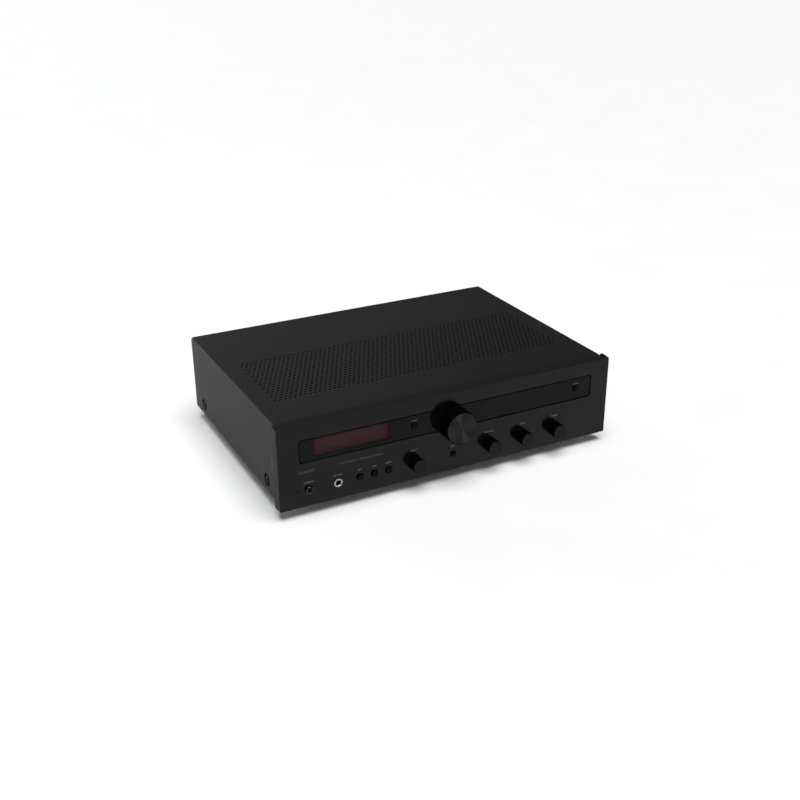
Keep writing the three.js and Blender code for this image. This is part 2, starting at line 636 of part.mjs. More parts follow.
function tunerModule() {
  const { x0, x1, y0, high, socketX, socketZ, socket, reach } = TUNER;
  const back = PANEL_FRONT - GAP;
  const can = box(x0, x1, y0, back, MAIN_TOP + GAP, high);
  const barrel = rodY(socketX, socketZ, socket, back - 1, PANEL_BACK + reach, 12);
  const centre = rodY(socketX, socketZ, 1.2, PANEL_BACK + reach - 8, PANEL_BACK + reach + 1, 8);
  add("tuner_module", cut(joined(can, barrel), centre), zinc);
}

function jackBlock() {
  const { x0, x1, low, high, columns, pitch, rows } = JACKS;
  const { radius, bore, reach } = JACK;
  const face = PANEL_BACK + 1;
  const tip = face + reach;
  const first = (x0 + x1) / 2 - ((columns - 1) * pitch) / 2;
  const places = rows.flatMap((z) => Array.from({ length: columns }, (_, i) => [first + i * pitch, z]));
  const housing = box(x0, x1, PANEL_FRONT - 12, face, low, high);
  const barrels = places.map(([x, z]) => rodY(x, z, radius, face - 1, tip, 10));
  const bores = places.map(([x, z]) => rodY(x, z, bore, tip - 8, tip + 1, 6));
  add("rca_jack_block", cut(joined(housing, ...barrels), ...bores), moulding);
}

// Each post: a fixed stud, a washer that slides with the cap, and a cap that screws out.
function speakerPosts() {
  const { x, z, pitch, flangeX: wide, flangeZ: high, bodyX, bodyZ } = POSTS;
  const { stud, collar, washer, cap, bore, flutes, fluteDepth } = POST;
  const plateFront = PANEL_BACK + GAP;
  const plateBack = plateFront + 2.5;
  const collarBack = plateBack + 2;
  const washerFront = collarBack + GAP;
  const washerBack = washerFront + SHEET;
  const capFront = washerBack + GAP;
  const tip = BODY_DEPTH + POST_REACH;
  const names = ["left_plus", "left_minus", "right_minus", "right_plus"];
  const places = names.map((name, i) => ({ name, at: x + (i - (names.length - 1) / 2) * pitch }));
  const base = joined(
    box(x - wide, x + wide, plateFront, plateBack, z - high, z + high),
    box(x - bodyX, x + bodyX, PANEL_FRONT - 8, plateFront + 0.1, z - bodyZ, z + bodyZ),
    ...places.map(({ at }) => rodY(at, z, collar, plateBack - 0.1, collarBack, 12)),
    ...places.map(({ at }) => rodY(at, z, stud, plateBack - 0.1, tip - 1.6, 8)),
  );
  add("speaker_terminal_base", base, moulding);
  for (const { name, at } of places) {
    const ring = plateY(circle(0, 0, washer, 14), washerFront, washerBack, [circle(0, 0, bore + 0.1, 8)]);
    add(`post_washer_${name}`, ring, brass, [at, 0, z]);
    const fluted = Array.from({ length: 2 * flutes }, (_, i) => {
      const radius = i % 2 ? cap : cap - fluteDepth;
      const angle = (i / (2 * flutes)) * TURN;
      return new THREE.Vector2(radius * Math.cos(angle), radius * Math.sin(angle));
    });
    const body = plateY(fluted, capFront, tip, [circle(0, 0, bore, 12)]);
    add(`post_cap_${name}`, body, name.endsWith("plus") ? redCap : blackCap, [at, 0, z]);
  }
}

function mainsInlet() {
  const { x, z, bodyX, bodyZ, mouthX, mouthZ, front, floor } = INLET;
  const { length, places, halfX, halfZ } = BLADE;
  const face = PANEL_BACK + GAP;
  const rim = face + 2;
  const shell = joined(
    box(-bodyX, bodyX, front, face + 0.1, -bodyZ, bodyZ),
    box(-bodyX - 2, bodyX + 2, face, rim, -bodyZ - 2.5, bodyZ + 2.5),
  );
  const cavity = box(-mouthX, mouthX, floor, rim + 1, -mouthZ, mouthZ);
  const blades = places.map(([px, pz]) =>
    box(px - halfX, px + halfX, floor - 0.1, floor + length, pz - halfZ, pz + halfZ),
  );
  add("mains_inlet", joined(cut(shell, cavity), ...blades), moulding, [x, 0, z]);
}

frontPlate();
displayWindow();
fasciaFrame();
topCover();
coverScrews();
chassisTray();
rearPanel();
feet();
volumeControl();
smallControls();
buttons();
lampAndPhones();
displayModule();
controlBoard();
mainBoard();
heatsink();
outputTransistors();
powerTransformer();
reservoirCapacitors();
tunerModule();
jackBlock();
speakerPosts();
mainsInlet();

export default receiver;
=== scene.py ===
"""Looks for a full-width stereo receiver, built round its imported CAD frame.

Everything is in the frame's own space: +X to the right seen from the front, +Y to the back, +Z up, and the
floor at Z = 0. Shapes are in millimetres and are turned into metres where a mesh is made. The camera, the
lights and the floor are in metres.
"""

import math

import bmesh
import bpy
from mathutils import Euler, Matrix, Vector
from mathutils.geometry import tessellate_polygon


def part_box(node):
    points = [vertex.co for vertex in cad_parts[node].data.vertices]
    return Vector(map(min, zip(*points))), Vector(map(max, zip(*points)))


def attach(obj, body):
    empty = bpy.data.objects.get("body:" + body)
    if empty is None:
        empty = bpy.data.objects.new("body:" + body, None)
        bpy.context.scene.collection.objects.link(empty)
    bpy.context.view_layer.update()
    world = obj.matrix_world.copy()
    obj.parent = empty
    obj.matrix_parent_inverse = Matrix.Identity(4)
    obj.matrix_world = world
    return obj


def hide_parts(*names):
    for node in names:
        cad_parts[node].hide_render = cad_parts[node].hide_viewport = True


MM = 0.001
TURN = 2 * math.pi

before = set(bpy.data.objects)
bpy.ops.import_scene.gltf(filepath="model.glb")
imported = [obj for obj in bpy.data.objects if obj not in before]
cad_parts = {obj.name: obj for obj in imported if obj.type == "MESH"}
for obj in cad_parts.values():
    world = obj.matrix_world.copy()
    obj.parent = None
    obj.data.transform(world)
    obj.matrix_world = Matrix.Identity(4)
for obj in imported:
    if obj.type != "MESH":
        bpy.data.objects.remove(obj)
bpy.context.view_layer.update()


# ---------------- places taken from the frame


def limits(node):
    """A CAD node's lowest and highest corner, in millimetres."""
    low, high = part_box(node)
    return low / MM, high / MM


def centre(node):
    low, high = limits(node)
    return (low + high) / 2


def round_limits(node):
    """A round CAD node's lowest and highest corner, its centre and its radius."""
    low, high = limits(node)
    return low, high, centre(node), (high.x - low.x) / 2


PLATE_LOW, PLATE_HIGH = limits("front_fascia")
COVER_LOW, COVER_HIGH = limits("top_cover")
WINDOW_LOW, WINDOW_HIGH = limits("display_window")
FRONT = PLATE_LOW.y  # the front plate's face
BACK = COVER_HIGH.y
HALF = PLATE_HIGH.x
SHEET = 1.2  # the thickness of the cover's and the rear panel's steel
GAP = 0.3  # the play round a part in its hole, or between two faces


# ---------------- materials


def graph(name):
    material = bpy.data.materials.new(name)
    material.use_nodes = True
    tree = material.node_tree
    return material, tree, tree.nodes["Principled BSDF"]


def connect(tree, node, inputs):
    """Sets a node's inputs, each to a number or to another node's output."""
    for socket, value in inputs.items():
        if isinstance(value, bpy.types.NodeSocket):
            tree.links.new(value, node.inputs[socket])
        else:
            node.inputs[socket].default_value = value


def added(tree, kind, output, inputs=None, **settings):
    """The output of a new node."""
    node = tree.nodes.new(kind)
    for name, value in settings.items():
        setattr(node, name, value)
    connect(tree, node, inputs or {})
    return node.outputs[output]


def noise(tree, scale, detail=4.0):
    """Noise in the piece's own space; scale is in waves per metre, one number or one for each axis."""
    waves = scale if isinstance(scale, tuple) else (scale,) * 3
    coords = added(tree, "ShaderNodeTexCoord", "Object")
    mapped = added(tree, "ShaderNodeMapping", "Vector", {"Vector": coords, "Scale": waves})
    inputs = {"Vector": mapped, "Scale": 1.0, "Detail": detail, "Roughness": 0.55}
    return added(tree, "ShaderNodeTexNoise", "Fac", inputs)


def ranged(tree, value, low, high, start=0.3, end=0.7, kind="LINEAR"):
    """A value, such as a noise that runs from start to end, spread over low to high."""
    inputs = {"Value": value, "From Min": start, "From Max": end, "To Min": low, "To Max": high}
    return added(tree, "ShaderNodeMapRange", "Result", inputs, interpolation_type=kind)


def calculated(tree, operation, one, two):
    return added(tree, "ShaderNodeMath", "Value", {0: one, 1: two}, operation=operation)


def toned(tree, value, dark, light):
    """A colour between dark and light, by a value from 0 to 1."""
    inputs = {"Factor": value, "A": (*dark, 1), "B": (*light, 1)}
    return added(tree, "ShaderNodeMix", "Result", inputs, data_type="RGBA")


def bumped(tree, value, strength, distance):
    inputs = {"Height": value, "Strength": strength, "Distance": distance}
    return added(tree, "ShaderNodeBump", "Normal", inputs)


def finish(name, color, roughness, scale, spread, tone, bump, depth=0.0001, metallic=0.0, specular=0.5):
    """A surface whose colour, roughness and bump all follow one noise, at the scale of its own grain. Spread
    is how far the roughness goes to each side, and tone how far the colour does, as a share of it."""
    material, tree, shader = graph(name)
    grain = noise(tree, scale)
    dark = [c * (1 - tone) for c in color]
    light = [min(1.0, c * (1 + tone)) for c in color]
    connect(tree, shader, {
        "Metallic": metallic,
        "Specular IOR Level": specular,
        "Base Color": toned(tree, ranged(tree, grain, 0, 1), dark, light),
        "Roughness": ranged(tree, grain, max(0.02, roughness - spread), roughness + spread),
        "Normal": bumped(tree, grain, bump, depth),
    })
    return material


BRUSH = (9, 400, 900)  # long grain across the receiver

plate_black = finish("plate_black", (0.0026, 0.0026, 0.0028), 0.18, BRUSH, 0.10, 0.85, 0.35, 0.00008,
                     specular=0.18)
cover_black = finish("cover_black", (0.009, 0.009, 0.0095), 0.50, 1500, 0.06, 0.2, 0.35, 0.00008,
                     specular=0.1)
moulding_black = finish("moulding_black", (0.006, 0.006, 0.007), 0.50, 1200, 0.05, 0.2, 0.15, specular=0.1)
knob_side = finish("knob_side", (0.0008, 0.0008, 0.0008), 0.60, (600, 2500, 600), 0.05, 0.2, 0.2, 0.00003,
                   specular=0.01)
button_black = finish("button_black", (0.002, 0.002, 0.0025), 0.14, 500, 0.03, 0.2, 0.03, specular=0.05)
# Painted shade: the pressed dishes round the cover screws get a darker, less shiny copy of the cover's paint,
# standing in for the shade in these recesses.
dish_painted_shade = finish("dish_painted_shade", (0.003, 0.003, 0.003), 0.6, 1500, 0.06, 0.2, 0.3, specular=0.03)
bright_edge = finish("bright_edge", (0.36, 0.35, 0.33), 0.20, 800, 0.05, 0.06, 0.05, metallic=1.0)
dark_edge = finish("dark_edge", (0.060, 0.060, 0.062), 0.22, 800, 0.05, 0.06, 0.05, metallic=1.0)
zinc_steel = finish("zinc_steel", (0.42, 0.43, 0.43), 0.42, 160, 0.12, 0.25, 0.1, metallic=0.9)
bare_aluminium = finish("bare_aluminium", (0.45, 0.46, 0.47), 0.40, (900, 900, 40), 0.08, 0.12, 0.2,
                        metallic=0.95)
screw_black = finish("screw_black", (0.008, 0.008, 0.0085), 0.42, 900, 0.08, 0.2, 0.1, metallic=0.3,
                     specular=0.2)
foot_plastic = finish("foot_plastic", (0.015, 0.015, 0.016), 0.42, 900, 0.08, 0.2, 0.15)
foot_rubber = finish("foot_rubber", (0.030, 0.030, 0.030), 0.78, 700, 0.08, 0.25, 0.3)
gilt = finish("gilt", (0.62, 0.43, 0.14), 0.24, 700, 0.06, 0.08, 0.05, metallic=1.0)
red_plastic = finish("red_plastic", (0.30, 0.008, 0.008), 0.28, 700, 0.04, 0.15, 0.05)
white_plastic = finish("white_plastic", (0.62, 0.61, 0.58), 0.35, 700, 0.04, 0.05, 0.05)
ink = finish("ink", (0.15, 0.15, 0.155), 0.5, 2500, 0.05, 0.08, 0.05)
faint_ink = finish("faint_ink", (0.055, 0.055, 0.058), 0.5, 2500, 0.05, 0.10, 0.05)
board_green = finish("board_green", (0.012, 0.085, 0.032), 0.35, 350, 0.08, 0.35, 0.2)
epoxy = finish("epoxy", (0.012, 0.012, 0.013), 0.55, 1500, 0.05, 0.2, 0.2)
sleeve_black = finish("sleeve_black", (0.010, 0.010, 0.016), 0.30, 300, 0.05, 0.2, 0.1)
amber_tape = finish("amber_tape", (0.55, 0.25, 0.035), 0.30, (120, 120, 500), 0.08, 0.2, 0.3, 0.0002)
lamp_red = finish("lamp_red", (0.009, 0.0012, 0.0012), 0.20, 500, 0.03, 0.1, 0.03, specular=0.1)
deep_black = finish("deep_black", (0.002, 0.002, 0.002), 0.7, 900, 0.05, 0.2, 0.1, specular=0.1)


def turned_face(name, tone, anisotropy):
    """Fine rings left by turning: grain that runs round the knob, so light spreads out from its centre."""
    material, tree, shader = graph(name)
    grain = noise(tree, 700)
    connect(tree, shader, {
        "Metallic": 0.95,
        "Anisotropic": anisotropy,
        "Anisotropic Rotation": 0.25,
        "Tangent": added(tree, "ShaderNodeTangent", "Tangent", direction_type="RADIAL", axis="Y"),
        "Base Color": toned(tree, ranged(tree, grain, 0, 1), (tone * 0.9,) * 3, (tone * 1.1,) * 3),
        "Roughness": ranged(tree, grain, 0.62, 0.70),
    })
    return material


volume_face = turned_face("volume_face", 0.037, 1.0)
knob_face = turned_face("knob_face", 0.022, 0.7)


def inside(tree, area, soft_x, soft_z):
    """1 within an area (x0, x1, z0, z1) in millimetres, fading smoothly to 0 at its edges."""
    x0, x1, z0, z1 = area
    coords = added(tree, "ShaderNodeTexCoord", "Object")

    def faded(axis, start, end):
        value = added(tree, "ShaderNodeSeparateXYZ", axis, {"Vector": coords})
        return ranged(tree, value, 0, 1, start * MM, end * MM, "SMOOTHSTEP")

    across = calculated(tree, "MULTIPLY", faded("X", x0, x0 + soft_x), faded("X", x1, x1 - soft_x))
    up = calculated(tree, "MULTIPLY", faded("Z", z0, z0 + soft_z), faded("Z", z1, z1 - soft_z))
    return calculated(tree, "MULTIPLY", across, up)


LIT_AREA = (-174.2, -76.7, 67.3, 92.7)  # the red on the display's glass
CLEAR_AREA = (-176.0, -78.5, 69.1, 94.5)  # where the pane lets it show
PANE_COVERS = 0.70  # how much the pane's black face covers there
PANE_BEHIND_COVERS = 0.03  # how much each of the pane's inner faces adds


def hazy(name, dark, light, smooth, rough, specular):
    """Clean plastic whose colour and roughness drift slowly."""
    material, tree, shader = graph(name)
    haze = noise(tree, 40, 3)
    connect(tree, shader, {
        "Specular IOR Level": specular,
        "Base Color": toned(tree, haze, dark, light),
        "Roughness": ranged(tree, haze, smooth, rough),
    })
    return material, tree, shader


def smoked_acrylic():
    """The pane's polished black face, which lets a little through in front of the display."""
    dark, light = (0.002, 0.002, 0.0025), (0.003, 0.0028, 0.003)
    material, tree, shader = hazy("smoked_acrylic", dark, light, smooth=0.07, rough=0.11, specular=0.11)
    seen_through = inside(tree, CLEAR_AREA, 5.0, 4.0)
    connect(tree, shader, {"IOR": 1.49, "Alpha": ranged(tree, seen_through, 1.0, PANE_COVERS, 0, 1)})
    return material


def clear_acrylic():
    """The pane's inner faces, behind the black one."""
    dark, light = (0.002,) * 3, (0.003,) * 3
    material, tree, shader = hazy("clear_acrylic", dark, light, smooth=0.3, rough=0.4, specular=0.0)
    shader.inputs["Alpha"].default_value = PANE_BEHIND_COVERS
    return material


def filter_red():
    """The red filter over the display tube, dark towards its four edges."""
    material, tree, shader = graph("filter_red")
    grain = ranged(tree, noise(tree, 900), 0.88, 1.0)
    lit = calculated(tree, "MULTIPLY", inside(tree, LIT_AREA, 7.0, 4.0), grain)
    connect(tree, shader, {
        "Specular IOR Level": 0.1,
        "Base Color": toned(tree, lit, (0.004, 0.002, 0.002), (0.76, 0.26, 0.30)),
        "Roughness": ranged(tree, noise(tree, 300), 0.45, 0.6),
    })
    return material


pane_smoked = smoked_acrylic()
pane_clear = clear_acrylic()


# ---------------- mesh builders


def placed(name, data):
    """A camera, light or mesh as an object in the scene."""
    made = bpy.data.objects.new(name, data)
    bpy.context.scene.collection.objects.link(made)
    return made


def piece(name, bm, materials, body="chassis", replaces=(), sharp=32, sheet=0.0):
    """A finished bmesh, in millimetres of the frame's space, as a smooth-shaded piece that rides on a body,
    with creases where faces meet at more than sharp degrees. An open surface can be given a sheet's
    thickness, inwards, with the next material on its cut edges."""
    bmesh.ops.remove_doubles(bm, verts=bm.verts, dist=1e-4)
    bmesh.ops.recalc_face_normals(bm, faces=bm.faces)
    bmesh.ops.scale(bm, vec=(MM, MM, MM), verts=bm.verts)
    mesh = bpy.data.meshes.new(name)
    bm.to_mesh(mesh)
    bm.free()
    for material in materials if isinstance(materials, (list, tuple)) else [materials]:
        mesh.materials.append(material)
    mesh.polygons.foreach_set("use_smooth", [True] * len(mesh.polygons))
    mesh.set_sharp_from_angle(angle=math.radians(sharp))
    made = placed(name, mesh)
    if sheet:
        thick = made.modifiers.new("sheet", "SOLIDIFY")
        thick.thickness = sheet * MM
        thick.offset = -1
        thick.material_offset_rim = 1
    shading = made.modifiers.new("flat_faces_stay_flat", "WEIGHTED_NORMAL")
    shading.keep_sharp = True
    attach(made, body)
    if replaces:
        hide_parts(*replaces)
    return made


# How a profile's (radius, angle, position along the axis) becomes a point, for each axis.
AROUND = {
    "x": lambda r, a, t: (t, r * math.cos(a), r * math.sin(a)),
    "y": lambda r, a, t: (r * math.cos(a), t, r * math.sin(a)),
    "z": lambda r, a, t: (r * math.cos(a), r * math.sin(a), t),
}


def turned(bm, profile, at, axis="y", sides=48, ripple=None, slots=None):
    """Turns a profile of (radius, position) round an axis. ripple(angle) is taken off the radius of points
    whose third entry is True, and slots gives a material index to each stretch of the profile."""
    rings = []
    for radius, along, *rippled in profile:
        steps = 1 if radius == 0 else sides
        ring = []
        for i in range(steps):
            angle = TURN * i / sides
            r = radius - (ripple(angle) if rippled else 0)
            ring.append(bm.verts.new(Vector(at) + Vector(AROUND[axis](r, angle, along))))
        rings.append(ring)
    for k, (one, two) in enumerate(zip(rings, rings[1:])):
        if len(one) == 1 and len(two) == 1:
            continue
        for i in range(sides):
            j = i + 1
            corners = [one[i % len(one)], one[j % len(one)], two[j % len(two)], two[i % len(two)]]
            face = bm.faces.new(list(dict.fromkeys(corners)))
            face.material_index = slots[k] if slots else 0
    return bm


def round_hole(x, z, radius, sides=40):
    """A circle, as an outline that grows or shrinks by an offset."""
    circle = [(math.cos(TURN * i / sides), math.sin(TURN * i / sides)) for i in range(sides)]
    return lambda grow: [(x + (radius + grow) * u, z + (radius + grow) * v) for u, v in circle]


def soft_rectangle(x0, x1, z0, z1, radius):
    """A rectangle with rounded corners, as an outline that grows or shrinks by an offset."""

    def outline(grow):
        steps = 8
        r = max(radius + grow, 0.01)
        corners = [
            (x1 + grow - r, z1 + grow - r, 0),
            (x0 - grow + r, z1 + grow - r, 1),
            (x0 - grow + r, z0 - grow + r, 2),
            (x1 + grow - r, z0 - grow + r, 3),
        ]
        return [
            (x + r * math.cos((q + i / steps) * TURN / 4), z + r * math.sin((q + i / steps) * TURN / 4))
            for x, z, q in corners
            for i in range(steps + 1)
        ]

    return outline


def plate(bm, outline, holes, front, back, edge, back_edge=None, rim_slot=0):
    """A plate with holes, upright between two depths, its edges and its holes' edges rounded on both faces.
    The outer rim can have a material slot of its own."""
    back_edge = edge if back_edge is None else back_edge
    quarter = [TURN / 4 * i / 3 for i in range(4)]
    levels = [(edge * (1 - math.sin(a)), front + edge * (1 - math.cos(a))) for a in quarter]
    levels += [(back_edge * (1 - math.cos(a)), back - back_edge * (1 - math.sin(a))) for a in quarter]
    faces = []
    for loop, sign in [(outline, -1)] + [(hole, 1) for hole in holes]:
        rings = [[bm.verts.new((x, y, z)) for x, z in loop(sign * inset)] for inset, y in levels]
        for one, two in zip(rings, rings[1:]):
            for i in range(len(one)):
                j = (i + 1) % len(one)
                side = bm.faces.new((one[i], one[j], two[j], two[i]))
                side.material_index = rim_slot if sign < 0 else 0
        faces.append((rings[0], rings[-1]))
    for side in (0, 1):
        loops = [pair[side] for pair in faces]
        corners = [v for loop in loops for v in loop]
        for triangle in tessellate_polygon([[v.co for v in loop] for loop in loops]):
            trio = [corners[i] for i in triangle]
            if len(set(trio)) == 3 and bm.faces.get(trio) is None:
                bm.faces.new(trio)
    return bm


def block(bm, low, high, edge=0.3, slot=0):
    """A box with bevelled edges."""
    made = bmesh.ops.create_cube(bm, size=1.0)["verts"]
    size = Vector(high) - Vector(low)
    bmesh.ops.scale(bm, vec=size, verts=made)
    bmesh.ops.translate(bm, vec=(Vector(low) + Vector(high)) / 2, verts=made)
    faces = {f for v in made for f in v.link_faces}
    if edge:
        edges = list({e for v in made for e in v.link_edges})
        bevelled = bmesh.ops.bevel(bm, geom=edges, offset=edge, segments=2, profile=0.5, affect="EDGES")
        faces = {f for f in faces if f.is_valid} | set(bevelled["faces"])
    for face in faces:
        face.material_index = slot
    return bm


INK_THICKNESS = 0.04


def lettering(bm, words, x, z, width, y, height, facing=-1):
    """Flat raised letters centred at x with their foot at z, on a face at y that looks along facing."""
    curve = bpy.data.curves.new("words", "FONT")
    curve.body = words
    curve.align_x = "CENTER"
    curve.resolution_u = 3
    text = placed("words", curve)
    bpy.context.view_layer.update()
    mesh = bpy.data.meshes.new_from_object(text.evaluated_get(bpy.context.evaluated_depsgraph_get()))
    across = [v.co.x for v in mesh.vertices]
    up = [v.co.y for v in mesh.vertices]
    wide = width / (max(across) - min(across))
    tall = height / (max(up) - min(up))
    flat = bmesh.new()
    flat.from_mesh(mesh)
    for vertex in flat.verts:
        u, v = vertex.co.x * wide, vertex.co.y * tall
        vertex.co = Vector((x - facing * u, y, z + v))
    extruded = bmesh.ops.extrude_face_region(flat, geom=flat.faces[:])
    moved = [g for g in extruded["geom"] if isinstance(g, bmesh.types.BMVert)]
    bmesh.ops.translate(flat, vec=(0, facing * INK_THICKNESS, 0), verts=moved)
    flat.to_mesh(mesh)
    flat.free()
    bm.from_mesh(mesh)
    bpy.data.objects.remove(text)
    bpy.data.curves.remove(curve)
    bpy.data.meshes.remove(mesh)
    return bm


# ---------------- front plate, window and frame

BUTTONS = ["power_button", "preset_button", "tuning_button", "memory_button", "direct_button"]
PANE_BUTTONS = ["dimmer_button", "display_button"]
DIALS = ["input", "balance", "bass", "treble"]
PANE_FLANGE = 5.5  # how far the pane's hidden rim stands out round its face
PANE_GAP = 1.0
PANE_ROUND = 3.0
PANE_STEP = FRONT + 5.3  # where the pane widens to its rim
CAP_COLLAR = 1.0  # how far a button's hidden collar stands out round its cap


def cap_radius(name):
    return round_limits(name)[3] - CAP_COLLAR


def hole_at(node, radius, sides=40):
    at = centre(node)
    return round_hole(at.x, at.z, radius, sides)


def cap_holes(names):
    return [hole_at(name, cap_radius(name) + GAP) for name in names]


def front_plate():
    """The brushed plate, with its window and a hole for every control."""
    holes = [soft_rectangle(*pane_outline(PANE_GAP), PANE_ROUND + PANE_GAP / 2)]
    holes += [hole_at(f"{dial}_knob", 4.5) for dial in DIALS] + cap_holes(BUTTONS)
    holes += [hole_at("standby_lamp", 1.8, 24), hole_at("phones_jack", 4.9)]
    outline = soft_rectangle(-HALF, HALF, PLATE_LOW.z, PLATE_HIGH.z, 1.2)
    bm = plate(bmesh.new(), outline, holes, FRONT, PLATE_HIGH.y, 0.5, 0.2, rim_slot=1)
    materials = [plate_black, moulding_black]
    piece("fascia_plate", bm, materials, replaces=["front_fascia"])


def pane_outline(grow=0.0):
    inset = PANE_FLANGE - grow
    return (WINDOW_LOW.x + inset, WINDOW_HIGH.x - inset, WINDOW_LOW.z + inset, WINDOW_HIGH.z - inset)


def window_pane():
    """The pane: its polished face, and the wider rim behind it that holds it in the plate."""
    holes = [hole_at("volume_knob", 5.2)] + cap_holes(PANE_BUTTONS)
    front = soft_rectangle(*pane_outline(), PANE_ROUND)
    bm = plate(bmesh.new(), front, holes, WINDOW_LOW.y, PANE_STEP - 0.03, 0.35, 0.05)
    rim = soft_rectangle(WINDOW_LOW.x, WINDOW_HIGH.x, WINDOW_LOW.z, WINDOW_HIGH.z, 1.0)
    plate(bm, rim, holes, PANE_STEP, WINDOW_HIGH.y, 0.1)
    for face in bm.faces:
        face.normal_update()
        if abs(face.normal.y) > 0.99 and face.calc_center_median().y > WINDOW_LOW.y + 1:
            face.material_index = 1
    piece("smoked_pane", bm, [pane_smoked, pane_clear], replaces=["display_window"])


def window_mask():
    """A black sheet behind the pane, open only at the display and round what passes through."""
    holes = [hole_at("volume_knob", 4.9)] + cap_holes(PANE_BUTTONS)
    x0, x1, z0, z1 = CLEAR_AREA
    holes.append(soft_rectangle(x0 - 1, x1 + 3, z0 - 3, z1 + 1, 0.8))
    front = WINDOW_HIGH.y + 0.05
    rim = soft_rectangle(WINDOW_LOW.x + 1, WINDOW_HIGH.x - 1, WINDOW_LOW.z + 1, WINDOW_HIGH.z - 1, 1.0)
    bm = plate(bmesh.new(), rim, holes, front, front + 0.2, 0.05)
    piece("window_mask", bm, deep_black)


TUBE_FRONT, TUBE_BACK = FRONT + 7.4, FRONT + 13.4
TUBE_PINS = 24


def display():
    """The unlit display tube behind the pane: its glass, its board and the tube's pins."""
    low, high = limits("display_module")
    bm = block(bmesh.new(), (low.x + 4, TUBE_FRONT, low.z + 3), (high.x - 1.5, TUBE_BACK, high.z - 3), 0.6)
    block(bm, (low.x, TUBE_BACK, low.z), high, 0.2, 1)
    for i in range(TUBE_PINS):
        x = low.x + 8 + i * (high.x - low.x - 16) / (TUBE_PINS - 1)
        block(bm, (x - 0.25, FRONT + 9, low.z + 0.8), (x + 0.25, TUBE_BACK + 0.2, low.z + 3.2), 0, 2)
    materials = [filter_red(), board_green, bright_edge]
    piece("display_tube", bm, materials, replaces=["display_module"])


def lettering_on_plate():
    """Generic function words over the controls, and a faint title."""
    face = FRONT - 0.01
    bm = bmesh.new()
    row = centre("phones_jack").z + 8.3
    labels = [
        # words, over this node, aside, height above the floor, width
        ("STANDBY/ON", "power_button", 0, row, 11.9),
        ("PHONES", "phones_jack", 0, row, 10.6),
        ("SET", "preset_button", 0, row + 0.2, 4.7),
        ("FM", "tuning_button", 0, row + 0.2, 4.5),
        ("MEMORY", "memory_button", 0, row + 0.2, 8.5),
        ("DIRECT", "direct_button", 0, row + 1.1, 8.6),
        ("INPUT", "input_knob", -0.8, 48.7, 9.3),
        ("BALANCE", "balance_knob", -1.2, 49.8, 13.0),
        ("BASS", "bass_knob", -0.6, 49.8, 7.4),
        ("TREBLE", "treble_knob", -0.4, 50.0, 9.3),
    ]
    for words, node, aside, z, width in labels:
        lettering(bm, words, centre(node).x + aside, z, width, face, 1.9)
    pane_face = WINDOW_LOW.y - 0.01
    for words, node, width in (("DIMMER", "dimmer_button", 7.0), ("DISPLAY", "display_button", 8.0)):
        lettering(bm, words, centre(node).x, 86.0, width, pane_face, 1.6)
    piece("front_lettering", bm, ink, sharp=60)
    title = lettering(bmesh.new(), "STEREO RECEIVER", -117.8, 54.6, 54.0, face, 1.7)
    lettering(title, "AUDIO", -183.8, 54.2, 19.0, face, 3.0)
    piece("front_title", title, faint_ink, sharp=60)


# ---------------- knobs and buttons


def ribs(count, depth):
    """Rounded ribs round a knob's side."""
    return lambda angle: depth * (0.5 - 0.5 * math.cos(count * angle))


KNOB_BORE = 3.4  # the radius of a knob's hole for its shaft


def volume_knob():
    low, high, at, radius = round_limits("volume_knob")
    face, back = low.y, high.y
    profile = [
        (0, face + 0.5), (radius * 0.5, face + 0.35), (radius - 1.6, face + 0.12),
        (radius - 1.3, face), (radius - 0.9, face), (radius - 0.35, face + 0.25), (radius, face + 0.8),
        (radius, face + 1.4, True), (radius, back - 1.0, True), (radius - 0.3, back - 0.4),
        (radius - 0.8, back), (KNOB_BORE, back), (KNOB_BORE, face + 6), (0, face + 6),
    ]
    slots = [0] * 4 + [1] * 9
    bm = turned(bmesh.new(), profile, (at.x, 0, at.z), sides=240, ripple=ribs(60, 0.12), slots=slots)
    piece("volume_dial", bm, [volume_face, knob_side], "volume_control", ["volume_knob"])


def small_knobs():
    for name in DIALS:
        low, high, at, radius = round_limits(f"{name}_knob")
        face, back = low.y, high.y
        profile = [
            (0, face), (radius - 0.8, face), (radius - 0.3, face + 0.15), (radius, face + 0.6),
            (radius, face + 1.2, True), (radius, back - 1.2, True), (radius, back - 0.6),
            (radius - 0.5, back), (KNOB_BORE, back), (KNOB_BORE, face + 3.6), (0, face + 3.6),
        ]
        slots = [0] * 2 + [1] * 8
        bm = turned(bmesh.new(), profile, (at.x, 0, at.z), sides=160, ripple=ribs(40, 0.3), slots=slots)
        materials = [knob_face, knob_side]
        piece(f"{name}_dial", bm, materials, f"{name}_control", [f"{name}_knob"])


def buttons():
    """Push-button caps: a glossy crowned face, and on the power button a sunk face in a rounded metal rim."""
    for name in BUTTONS + PANE_BUTTONS:
        low, high = limits(name)
        at = centre(name)
        radius = cap_radius(name)
        crown = 0.45 if name in PANE_BUTTONS else 0.25
        sunk, rim, rim_slot = (0.5, 0.9, 1) if name == "power_button" else (0, 0.4, 0)
        y = low.y + crown
        profile = [(0, low.y + sunk), (radius * 0.4, low.y + crown * 0.3), (radius - rim - 0.12, y)]
        for step in range(5):
            angle = step / 4 * TURN / 4
            profile.append((radius - rim * (1 - math.sin(angle)), y + rim * (1 - math.cos(angle))))
        profile += [(radius, FRONT + 5.6), (2, FRONT + 5.6), (2, high.y), (0, high.y)]
        slots = [0, 0] + [rim_slot] * 5 + [0] * (len(profile) - 8)
        bm = turned(bmesh.new(), profile, (at.x, 0, at.z), sides=48, slots=slots)
        piece(name.replace("button", "cap"), bm, [button_black, dark_edge], name, [name])


